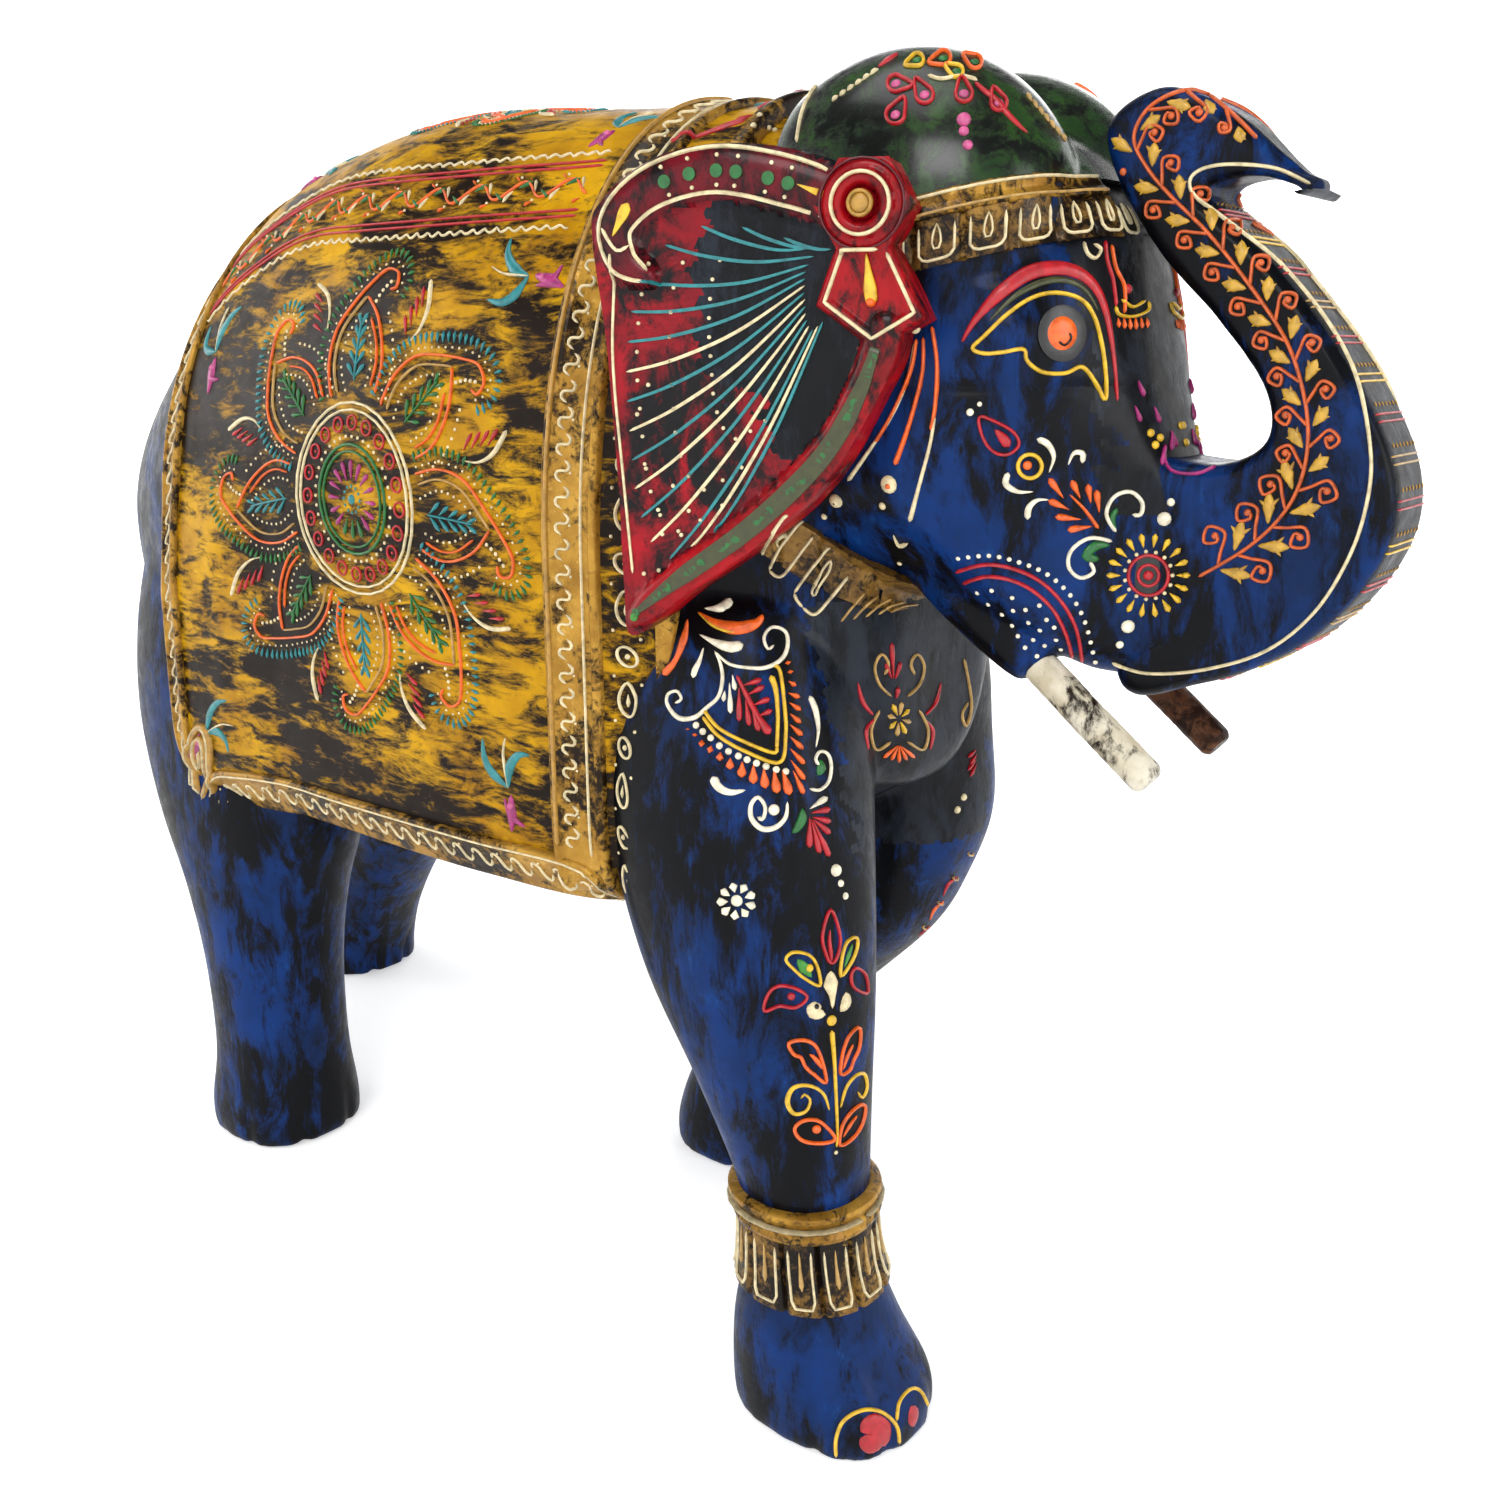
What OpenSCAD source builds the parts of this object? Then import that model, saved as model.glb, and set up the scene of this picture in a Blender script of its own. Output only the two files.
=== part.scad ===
// Carved and painted wooden elephant, built up from glued hardwood blocks.
// It faces +X and stands on z = 0. Its own right flank is on the -Y side.

/* [Body] */
// Half width of the barrel at the girth
girth_half_w = 82; // [78:1:84]
// Height of the back above the feet
back_h = 371; // [368:1:372]

/* [Head] */
// Thickness of the sawn trunk plank
trunk_t = 26; // [24:1:28]
// Radius of a round tusk peg
tusk_r = 4.6; // [4:0.1:5]
// Length of a tusk that stands out of the jaw
tusk_out = 60; // [40:1:62]
// Depth of a tusk's socket in the jaw
socket_depth = 22; // [16:1:22]

/* [Carved trappings] */
// Height of the saddle cloth's relief above the flank
cloth_relief = 2.5; // [2:0.5:3]
// Height of the cloth's border above its field
border_relief = 2; // [1:0.5:2.5]
// Corner radius of the six-sided rosette over an ear's root
rosette_r = 11.5; // [10:0.5:13]

/* [Hidden] */

// Moves the design frame, whose origin lies under the belly, to the middle of the footprint.
centre_shift = 50;
// Heights of the flat glue joints
leg_joint_z = 145;
head_joint_z = 292;
neck_joint_x = 62;
neck_joint_z = 236;
far = 900;

// ---- Curves and skins ----

function spline_point(a, b, c, d, t) =
    0.5 * (2 * b + (c - a) * t + (2 * a - 5 * b + 4 * c - d) * t * t
    + (3 * b - a - 3 * c + d) * t * t * t);

// Adds n - 1 points between each two of a list of stations.
function dense(s, n) = [
    for (i = [0 : len(s) - 2], k = [0 : n - 1])
        spline_point(s[max(i - 1, 0)], s[i], s[i + 1], s[min(i + 2, len(s) - 1)], k / n),
    s[len(s) - 1]
];

// The same for a closed outline.
function dense_loop(s, n) = [
    for (i = [0 : len(s) - 1], k = [0 : n - 1])
        spline_point(s[(i + len(s) - 1) % len(s)], s[i], s[(i + 1) % len(s)],
            s[(i + 2) % len(s)], k / n)
];

function signed_pow(v, p) = sign(v) * pow(abs(v), p);

// A ring across X: s = [x, z, half width, height above z, depth below z, squareness above, below]
function barrel_ring(s, n, grow) = [
    for (i = [0 : n - 1])
        let (a = 360 * (i + 0.5) / n, up = sin(a) > 0 ? s[3] : s[4], q = sin(a) > 0 ? s[5] : s[6])
        [s[0], (s[2] + grow) * signed_pow(cos(a), 2 / q), s[1] + (up + grow) * signed_pow(sin(a), 2 / q)]
];

// A ring across Z: s = [z, x, y, half length, half width, squareness]
function leg_ring(s, n, grow) = [
    for (i = [0 : n - 1])
        let (a = 360 * (i + 0.5) / n)
        [s[1] + (s[3] + grow) * signed_pow(cos(a), 2 / s[5]),
            s[2] + (s[4] + grow) * signed_pow(sin(a), 2 / s[5]), s[0]]
];

// Closed skin through rings of equal length, wound so that its faces look outward.
module skin(rings) {
    n = len(rings[0]);
    m = len(rings);
    points = [for (r = rings) each r];
    sides = [
        for (j = [0 : m - 2], i = [0 : n - 1])
            let (a = j * n + i, b = j * n + (i + 1) % n, c = b + n, d = a + n)
            each [[a, b, c], [a, c, d]]
    ];
    ends = [[for (i = [n - 1 : -1 : 0]) i], [for (i = [0 : n - 1]) (m - 1) * n + i]];
    faces = [for (f = concat(sides, ends)) [for (i = [len(f) - 1 : -1 : 0]) f[i]]];
    polyhedron(points, faces, convexity = 6);
}

module barrel(stations, steps, n, grow = 0) {
    skin([for (s = dense(stations, steps)) barrel_ring(s, n, grow)]);
}

module limb(stations, steps, n, grow = 0) {
    skin([for (s = dense(stations, steps)) leg_ring(s, n, grow)]);
}

// Keeps a carved shape as one closed mesh.
module carved() { resize([0, 0, 0]) children(); }

// side = 1 is the right flank as drawn, side = -1 its twin on the left.
module on_side(side) { scale([1, side, 1]) children(); }

// A box from corner a to corner b
module block(a, b) { translate(a) cube(b - a); }

// A slab of the given height under a plane that falls by `fall` degrees towards +X
module sloped_slab(at, fall, height) {
    translate(at) rotate([0, fall, 0]) block([-far, -far, -height], [far, far, 0]);
}

// ---- Raw carved shapes, before the joints divide them ----

body_stations = [
    [-263, 230, 14, 16, 20, 2.0, 2.0],
    [-257, 232, 37, 38, 44, 1.9, 2.2],
    [-240, 236, 57, 62, 64, 1.9, 2.4],
    [-205, 240, 71, 84, 82, 1.95, 3.6],
    [-175, 241, 78, 103, 90, 2.0, 5],
    [-145, 241, girdle_w(-2), 120, 93, 2.1, 6],
    [-85, 242, girdle_w(0), back_h - 242, 94, 2.2, 6],
    [-20, 243, girdle_w(-1), back_h - 246.5, 95, 2.2, 6],
    [30, 244, girdle_w(-8), back_h - 251, 94, 2.2, 5],
    [62, 244, girdle_w(-26), 117, 78, 2.2, 3],
    [79, 236, 45, 96, 60, 2.3, 2.6],
    [88, 226, 34, 56, 47, 2.4, 2.4],
    [92, 220, 24, 30, 34, 2.4, 2.4]
];

function girdle_w(less) = girth_half_w + less;

module body_raw(grow = 0) { barrel(body_stations, 3, 38, grow); }

head_stations = [
    [28, 296, 46, 54, 56, 2.2, 2.2],
    [50, 296, 50, 58, 60, 2.2, 2.2],
    [80, 294, 53, 66, 58, 2.2, 2.3],
    [104, 290, 51, 66, 52, 2.2, 2.4],
    [125, 284, 45, 64, 57, 2.4, 2.6],
    [136, 278, 39, 60, 54, 2.6, 2.8],
    [143, 270, 32, 60, 49, 2.8, 3.0],
    [150, 263, 23, 48, 43, 2.8, 3.2],
    [158, 252, 16, 30, 31, 2.8, 3.2],
    [166, 245, 14, 16, 22, 3.0, 3.2]
];

dome_at = [91, 22, 328];
dome_r = [46, 30, 41.5];

module head_raw(grow = 0) {
    barrel(head_stations, 3, 32, grow);
    for (side = [-1, 1])
        translate([dome_at[0], side * dome_at[1], dome_at[2]])
            barrel([for (a = [-80 : 20 : 80])
                [dome_r[0] * sin(a), 0, (dome_r[1] + grow) * cos(a),
                    (dome_r[2] + grow) * cos(a), (dome_r[2] + grow) * cos(a), 2, 2]], 1, 20);
}

trunk_outline = dense_loop([
    [150, 220], [172, 221], [196, 234], [211, 254], [212, 274], [198.5, 298.5], [180.5, 319.5],
    [163.5, 334.5], [174, 338], [188, 333.5], [179, 342], [166, 353], [151, 358.5], [138.5, 352],
    [141, 340], [153, 322.5], [169, 306.5], [181, 291.5], [182.5, 280], [173, 274.5], [160, 275], [150, 276]
], 3);

// The sawn plank, with its tip carved to a point on both faces
module trunk_raw() {
    difference() {
        rotate([90, 0, 0]) linear_extrude(trunk_t, center = true) polygon(trunk_outline);
        for (side = [-1, 1])
            scale([1, side, 1]) translate([170, -trunk_t / 2, 300]) rotate([0, 0, 42])
                block([0, -40, 32], [60, 0, 70]);
    }
}

leg_fr_stations = [
    [0, 94, -50, 29, 25, 2.4], [12, 93, -50, 29, 25, 2.4], [28, 88.5, -51, 24.5, 22.5, 2.2],
    [50, 86, -52, 18.5, 18.5, 2.1], [70, 84, -52, 18.5, 19, 2.1], [100, 76, -52, 26, 23, 2.1],
    [130, 66, -51, 35, 27, 2.2], [165, 57, -48, 40, 31, 2.2], [200, 47, -42, 43, 33, 2.2],
    [235, 42, -36, 36, 28, 2.2]
];

leg_fl_stations = [
    [0, -18, 48, 27, 24, 2.4], [12, -18, 48, 27, 24, 2.4], [30, -15, 47, 24, 22, 2.2],
    [50, -7, 45, 20, 19.5, 2.1], [70, 3, 44, 21, 20, 2.1], [90, 19, 43, 25, 23, 2.1],
    [112, 36, 42, 28.5, 26, 2.2], [131, 46, 42, 29, 27, 2.2], [155, 53, 42, 30, 28, 2.2],
    [182, 50, 42, 31, 29, 2.2], [210, 45, 38, 35, 30, 2.2], [235, 40, 34, 32, 26, 2.2]
];

leg_rr_stations = [
    [0, -176, -55, 28, 26, 2.4], [12, -176, -55, 28, 26, 2.4], [35, -175, -55, 26, 24, 2.2],
    [70, -175, -55, 27, 25, 2.1], [100, -178, -53, 34, 28, 2.1], [130, -182, -50, 47, 32, 2.2],
    [165, -187, -46, 55, 35, 2.2], [200, -188, -42, 54, 36, 2.2], [232, -188, -38, 49, 33, 2.2]
];

leg_rl_stations = [
    [0, -287, 62, 26, 26, 2.4], [12, -286, 62, 26, 26, 2.4], [35, -274, 60, 26, 25, 2.2],
    [65, -253, 57, 28, 25, 2.1], [95, -230, 54, 34, 28, 2.1], [125, -215, 50, 43, 32, 2.2],
    [160, -202, 46, 50, 35, 2.2], [200, -192, 42, 52, 36, 2.2], [232, -186, 37, 46, 30, 2.2]
];

module legs_raw() {
    limb(leg_fr_stations, 2, 24);
    limb(leg_fl_stations, 2, 24);
    limb(leg_rr_stations, 2, 24);
    limb(leg_rl_stations, 2, 24);
}

// ---- Regions that the glue joints make ----

module head_region() {
    block([neck_joint_x, -far, neck_joint_z], [far, far, far]);
    block([96, -far, 200], [far, far, far]);
}

leg_dowel_at = [[62, -50], [46, 42], [-182, -49], [-206, 47]];
dowel_r = 5;
dowel_half = 20;
neck_dowel_z = [264, 320];

module leg_dowels_raw() {
    for (p = leg_dowel_at)
        translate([p[0], p[1], leg_joint_z - dowel_half])
            cylinder(h = 2 * dowel_half, r = dowel_r, $fn = 24);
}

module neck_dowels_raw() {
    for (z = neck_dowel_z)
        translate([neck_joint_x - dowel_half, 0, z]) rotate([0, 90, 0])
            cylinder(h = 2 * dowel_half, r = dowel_r, $fn = 24);
}

// ---- Tusks ----

tusk_root = [119, 22, 234.8];
tusk_fall = 38.4;

// Stands at the right tusk's mouth with +Z out along the tusk.
module at_tusk(side) {
    on_side(side) translate([tusk_root[0], -tusk_root[1], tusk_root[2]])
        rotate([0, 90 + tusk_fall, 0]) children();
}

module tusk(side) {
    color("ivory") at_tusk(side) {
        translate([0, 0, -socket_depth]) cylinder(h = socket_depth + tusk_out - 2, r = tusk_r);
        translate([0, 0, tusk_out - 2]) cylinder(h = 2, r1 = tusk_r, r2 = tusk_r - 1.5);
    }
}

// The jaw swells round each tusk's socket
module tusk_bosses() {
    for (side = [-1, 1])
        at_tusk(side) hull() {
            translate([0, 0, -18]) sphere(r = 8, $fn = 24);
            translate([0, 0, 12]) sphere(r = 7, $fn = 24);
        }
}

module sockets() {
    for (side = [-1, 1])
        at_tusk(side) translate([0, 0, -socket_depth])
            cylinder(h = socket_depth + 80, r = tusk_r + 0.3, $fn = 32);
}

// ---- Ears, in the plane of the right ear: u runs back from the root, v up ----

ear_turn = 22.6;
ear_outline = dense_loop([
    [-6, 337], [8, 343.5], [27, 345.5], [45, 342.5], [57, 334], [59.5, 326], [56.5, 300],
    [54.5, 270], [53.5, 243], [51.5, 230], [38, 240], [18, 254], [0, 271], [-11, 289],
    [-16.5, 303], [-12, 320]
], 2);
tassel_outline = [[-1, 324], [-13, 324], [-22, 307], [-10, 300], [4, 310]];

// Lays a flat outline in the ear's plane and gives it depth: `out` outward, `deep` inward.
module in_ear_plane(side, out, deep) {
    on_side(side) translate([100, -66, 0]) rotate([0, 0, ear_turn]) scale([-1, 1, 1])
        rotate([90, 0, 0]) translate([0, 0, -deep]) linear_extrude(out + deep) children();
}

module ear_solid(side) {
    difference() {
        in_ear_plane(side, 3, 26) polygon(ear_outline);
        in_ear_plane(side, 5, 0) {
            translate([2, 0]) offset(-9) polygon(ear_outline);
            translate([44, 250]) square([40, 68]);
        }
    }
}

module rosette_solid(side) {
    in_ear_plane(side, 5, 20) translate([-7, 331.5]) circle(rosette_r, $fn = 6);
    in_ear_plane(side, 7, 19) translate([-7, 331.5]) circle(rosette_r * 0.62, $fn = 24);
}

module tassel_solid(side) { in_ear_plane(side, 3.5, 20) polygon(tassel_outline); }

module ear(side) {
    color("darkred") carved() difference() {
        ear_solid(side);
        body_raw();
        cloth_shell();
        head_raw();
        cap_shell();
        rosette_solid(side);
        tassel_solid(side);
    }
}

module rosette(side) {
    color("firebrick") carved() difference() {
        rosette_solid(side);
        head_raw();
        cap_shell();
    }
}

module tassel(side) {
    color("firebrick") carved() difference() {
        tassel_solid(side);
        head_raw();
        rosette_solid(side);
    }
}

// ---- Cap, rim and brow plates: relief on the head ----

cap_relief = 2.4;
rim_relief = 4.8;
plate_relief = 3;
brow_at = [111, 0, 328];
brow_fall = -14;
plate_angles = [-66 : 22 : 66];

module cap_region() {
    difference() {
        block([66, -far, 0], [far, far, far]);
        sloped_slab(brow_at + [0, 0, 5.5], brow_fall, far);
    }
}

module cap_shell() {
    intersection() {
        head_raw(cap_relief);
        cap_region();
    }
}

module skull_cap() {
    color("darkslategray") carved() difference() {
        cap_shell();
        head_raw();
        trunk_raw();
        for (side = [-1, 1]) rosette_solid(side);
    }
}

module cap_rim() {
    color("goldenrod") carved() difference() {
        intersection() {
            head_raw(rim_relief);
            sloped_slab(brow_at + [0, 0, 5.5], brow_fall, 5.3);
            block([90, -far, 0], [far, far, far]);
        }
        head_raw();
        trunk_raw();
        for (side = [-1, 1]) {
            rosette_solid(side);
            ear_solid(side);
        }
    }
}

module brow_band(grow) {
    difference() {
        intersection() {
            head_raw(grow);
            sloped_slab(brow_at, brow_fall, 10.5);
            block([96, -far, 0], [far, far, far]);
        }
        head_raw();
        trunk_raw();
        for (side = [-1, 1]) {
            rosette_solid(side);
            ear_solid(side);
            tassel_solid(side);
        }
    }
}

module brow_plates() {
    color("peru") carved() difference() {
        brow_band(plate_relief);
        // Shallow grooves between one plate and the next
        difference() {
            for (a = plate_angles)
                translate([100, 0, 0]) rotate([0, 0, a]) block([0, -0.6, 300], [80, 0.6, 360]);
            head_raw(plate_relief - 1.5);
        }
    }
}

// ---- Collar: relief round the throat ----

module collar_band(grow) {
    difference() {
        intersection() {
            union() {
                body_raw(grow);
                head_raw(grow);
            }
            sloped_slab([96, 0, 243], 37, 11);
            block([60, -far, 0], [116, far, far]);
        }
        body_raw();
        head_raw();
        legs_raw();
        tusk_bosses();
        sockets();
        for (side = [-1, 1]) ear_solid(side);
    }
}

module collar_plates() {
    color("goldenrod") carved() difference() {
        collar_band(3);
        difference() {
            for (x = [72 : 13 : 111]) block([x - 0.6, -far, 200], [x + 0.6, far, 280]);
            body_raw(1.5);
            head_raw(1.5);
        }
    }
}

// ---- Saddle cloth: relief over the back and down both flanks ----

cloth_x = [-168, 50];
cloth_low = 150;
frame_w = 11;
girdle_x = [15, 32];

module cloth_area() { block([cloth_x[0], -far, cloth_low], [cloth_x[1], far, far]); }

module cloth_shell() {
    intersection() {
        body_raw(cloth_relief + border_relief);
        cloth_area();
    }
}

// The raised frame: bottom strips, rear strip, girdle band and a narrow front strip
module border_area() {
    for (side = [-1, 1])
        on_side(side) block([cloth_x[0], -far, cloth_low], [cloth_x[1], 0, cloth_low + frame_w]);
    block([cloth_x[0], -far, cloth_low], [cloth_x[0] + frame_w, far, far]);
    block([girdle_x[0], -far, cloth_low], [girdle_x[1], far, far]);
    block([cloth_x[1] - 4, -far, cloth_low], [cloth_x[1], far, far]);
}

module saddle_field() {
    color("goldenrod") carved() difference() {
        intersection() {
            body_raw(cloth_relief);
            cloth_area();
        }
        body_raw();
        legs_raw();
        border_area();
    }
}

module saddle_border() {
    color("darkgoldenrod") carved() difference() {
        intersection() {
            body_raw(cloth_relief + border_relief);
            border_area();
        }
        body_raw();
        legs_raw();
    }
}

// ---- Anklets: relief round the front legs ----

module anklet_band(stations, low, high, grow) {
    difference() {
        intersection() {
            limb(stations, 2, 24, grow);
            block([-far, -far, low], [far, far, high]);
        }
        limb(stations, 2, 24);
    }
}

module anklet_ring(stations) {
    color("goldenrod") carved() anklet_band(stations, 62, 71, 3);
}

module anklet_fringe(stations) {
    color("darkkhaki") carved() difference() {
        anklet_band(stations, 41, 62, 2.2);
        difference() {
            for (a = [10 : 60 : 359])
                translate([stations[3][1], stations[3][2], 0]) rotate([0, 0, a])
                    block([-0.6, 0, 30], [0.6, 60, 75]);
            limb(stations, 2, 24, 1);
        }
    }
}

// ---- Blocks of the body ----

module torso_block() {
    color("midnightblue") carved() difference() {
        union() {
            body_raw();
            legs_raw();
        }
        block([-far, -far, -1], [far, far, leg_joint_z]);
        head_region();
        leg_dowels_raw();
        neck_dowels_raw();
    }
}

module head_part(low, high) {
    color("midnightblue") carved() difference() {
        intersection() {
            union() {
                head_raw();
                if (low < 200) tusk_bosses();
            }
            head_region();
            block([0, -far, low], [far, far, high]);
        }
        trunk_raw();
        neck_dowels_raw();
        sockets();
    }
}

module crown_block() { head_part(head_joint_z, far); }
module face_block() { head_part(0, head_joint_z); }

module trunk() { color("midnightblue") trunk_raw(); }

module leg(stations) {
    color("midnightblue") carved() difference() {
        intersection() {
            limb(stations, 2, 24);
            block([-far, -far, 0], [far, far, leg_joint_z]);
        }
        leg_dowels_raw();
    }
}

module leg_dowels() { color("burlywood") carved() leg_dowels_raw(); }
module neck_dowels() { color("burlywood") carved() neck_dowels_raw(); }

tail_stations = [
    [128, -262, 0, 3, 4, 2], [145, -263, 0, 6, 8, 2], [165, -262, 0, 5, 6, 2],
    [195, -261, 0, 4.5, 5, 2], [232, -265, 0, 4.5, 5, 2], [270, -259, 0, 4.5, 5.5, 2],
    [300, -243, 0, 4, 6, 2]
];

module tail() {
    color("midnightblue") carved() difference() {
        limb(tail_stations, 2, 16);
        body_raw();
    }
}

// ---- Assembly, one node at a time ----

module at_centre() { translate([centre_shift, 0, 0]) children(); }

at_centre() torso_block();
at_centre() crown_block();
at_centre() face_block();
at_centre() trunk();
at_centre() leg(leg_fr_stations);  // leg_front_right
at_centre() leg(leg_fl_stations);  // leg_front_left
at_centre() leg(leg_rr_stations);  // leg_rear_right
at_centre() leg(leg_rl_stations);  // leg_rear_left
at_centre() leg_dowels();
at_centre() neck_dowels();
at_centre() tail();
at_centre() ear(1);  // ear_right
at_centre() ear(-1);  // ear_left
at_centre() rosette(1);  // rosette_right
at_centre() rosette(-1);  // rosette_left
at_centre() tassel(1);  // tassel_right
at_centre() tassel(-1);  // tassel_left
at_centre() skull_cap();
at_centre() cap_rim();
at_centre() brow_plates();
at_centre() collar_plates();
at_centre() saddle_field();
at_centre() saddle_border();
at_centre() tusk(1);  // tusk_right
at_centre() tusk(-1);  // tusk_left
at_centre() anklet_ring(leg_fr_stations);  // anklet_ring_right
at_centre() anklet_ring(leg_fl_stations);  // anklet_ring_left
at_centre() anklet_fringe(leg_fr_stations);  // anklet_fringe_right
at_centre() anklet_fringe(leg_fl_stations);  // anklet_fringe_left
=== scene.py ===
import math
import bpy
import bmesh
import numpy as np
from mathutils import Vector, Matrix
from mathutils.bvhtree import BVHTree
from mathutils.geometry import delaunay_2d_cdt


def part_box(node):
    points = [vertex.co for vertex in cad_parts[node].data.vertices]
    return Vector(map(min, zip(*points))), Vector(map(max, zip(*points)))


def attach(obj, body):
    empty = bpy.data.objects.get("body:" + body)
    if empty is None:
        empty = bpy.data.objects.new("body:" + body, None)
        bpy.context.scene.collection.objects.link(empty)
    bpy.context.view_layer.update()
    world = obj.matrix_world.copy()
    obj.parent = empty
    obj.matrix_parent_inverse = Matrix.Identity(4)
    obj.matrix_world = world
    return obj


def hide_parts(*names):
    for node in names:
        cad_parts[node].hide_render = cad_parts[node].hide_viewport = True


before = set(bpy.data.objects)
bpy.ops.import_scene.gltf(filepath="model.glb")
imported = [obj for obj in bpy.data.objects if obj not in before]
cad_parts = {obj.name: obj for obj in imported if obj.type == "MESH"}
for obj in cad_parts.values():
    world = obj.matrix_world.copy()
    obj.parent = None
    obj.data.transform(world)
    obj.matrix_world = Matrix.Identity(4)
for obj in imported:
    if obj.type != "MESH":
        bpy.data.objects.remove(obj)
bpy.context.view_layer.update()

rng = np.random.default_rng(7)

# Lengths below are millimetres in the carver's frame, whose x is SH less than the row's.
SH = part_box("crown_block")[0].x * 1000 - 62.0


def W2M(p):
    p = np.asarray(p, float)
    return (p + np.array([SH, 0, 0])) / 1000.0


# ------------------------------------------------------------------ curves and lofts

def cr(s, n):
    s = np.asarray(s, float)
    out = []
    for i in range(len(s) - 1):
        a, b, c, d = s[max(i - 1, 0)], s[i], s[i + 1], s[min(i + 2, len(s) - 1)]
        for k in range(n):
            t = k / n
            out.append(.5 * (2 * b + (c - a) * t + (2 * a - 5 * b + 4 * c - d) * t * t
                             + (3 * b - a - 3 * c + d) * t ** 3))
    out.append(s[-1])
    return np.array(out)


def cr_loop(s, n):
    s = np.asarray(s, float)
    m = len(s)
    out = []
    for i in range(m):
        a, b, c, d = s[i - 1], s[i], s[(i + 1) % m], s[(i + 2) % m]
        for k in range(n):
            t = k / n
            out.append(.5 * (2 * b + (c - a) * t + (2 * a - 5 * b + 4 * c - d) * t * t
                             + (3 * b - a - 3 * c + d) * t ** 3))
    return np.array(out)


def sp(v, p):
    return np.sign(v) * np.abs(v) ** p


def barrel_pt(s, a, grow):
    """s = x, z, half width, up, down, squareness above, below; a in radians"""
    sa, ca = np.sin(a), np.cos(a)
    up = np.where(sa > 0, s[3], s[4])
    q = np.where(sa > 0, s[5], s[6])
    return np.stack([np.full_like(a, s[0]), (s[2] + grow) * sp(ca, 2 / q),
                     s[1] + (up + grow) * sp(sa, 2 / q)], -1)


def limb_pt(s, a, grow):
    sa, ca = np.sin(a), np.cos(a)
    return np.stack([s[1] + (s[3] + grow) * sp(ca, 2 / s[5]),
                     s[2] + (s[4] + grow) * sp(sa, 2 / s[5]), np.full_like(a, s[0])], -1)


def loft(rings):
    """Closed skin through rings -> verts, faces"""
    rings = np.asarray(rings, float)
    m, n = rings.shape[:2]
    v = rings.reshape(-1, 3)
    f = []
    for j in range(m - 1):
        for i in range(n):
            k = (i + 1) % n
            f.append((j * n + i, j * n + k, (j + 1) * n + k, (j + 1) * n + i))
    f.append(tuple(range(n - 1, -1, -1)))
    f.append(tuple(range((m - 1) * n, m * n)))
    return v, f


GW, BACK = 82.0, 371.0
BODY = [[-263, 230, 14, 16, 20, 2.0, 2.0], [-257, 232, 37, 38, 44, 1.9, 2.2],
        [-240, 236, 57, 62, 64, 1.9, 2.4], [-205, 240, 71, 84, 82, 1.95, 3.6],
        [-175, 241, 78, 103, 90, 2.0, 5], [-145, 241, GW - 2, 120, 93, 2.1, 6],
        [-85, 242, GW, BACK - 242, 94, 2.2, 6], [-20, 243, GW - 1, BACK - 246.5, 95, 2.2, 6],
        [30, 244, GW - 8, BACK - 251, 94, 2.2, 5], [62, 244, GW - 26, 117, 78, 2.2, 3],
        [79, 236, 45, 96, 60, 2.3, 2.6], [88, 226, 34, 56, 47, 2.4, 2.4],
        [92, 220, 24, 30, 34, 2.4, 2.4]]
HEAD = [[28, 296, 46, 54, 56, 2.2, 2.2], [50, 296, 50, 58, 60, 2.2, 2.2],
        [80, 294, 53, 66, 58, 2.2, 2.3], [104, 290, 51, 66, 52, 2.2, 2.4],
        [125, 284, 45, 64, 57, 2.4, 2.6], [136, 278, 39, 60, 54, 2.6, 2.8],
        [143, 270, 32, 60, 49, 2.8, 3.0], [150, 263, 23, 48, 43, 2.8, 3.2],
        [158, 252, 16, 30, 31, 2.8, 3.2], [166, 245, 14, 16, 22, 3.0, 3.2]]
DOME_AT, DOME_R = [91, 22, 328], [46, 30, 41.5]
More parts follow.
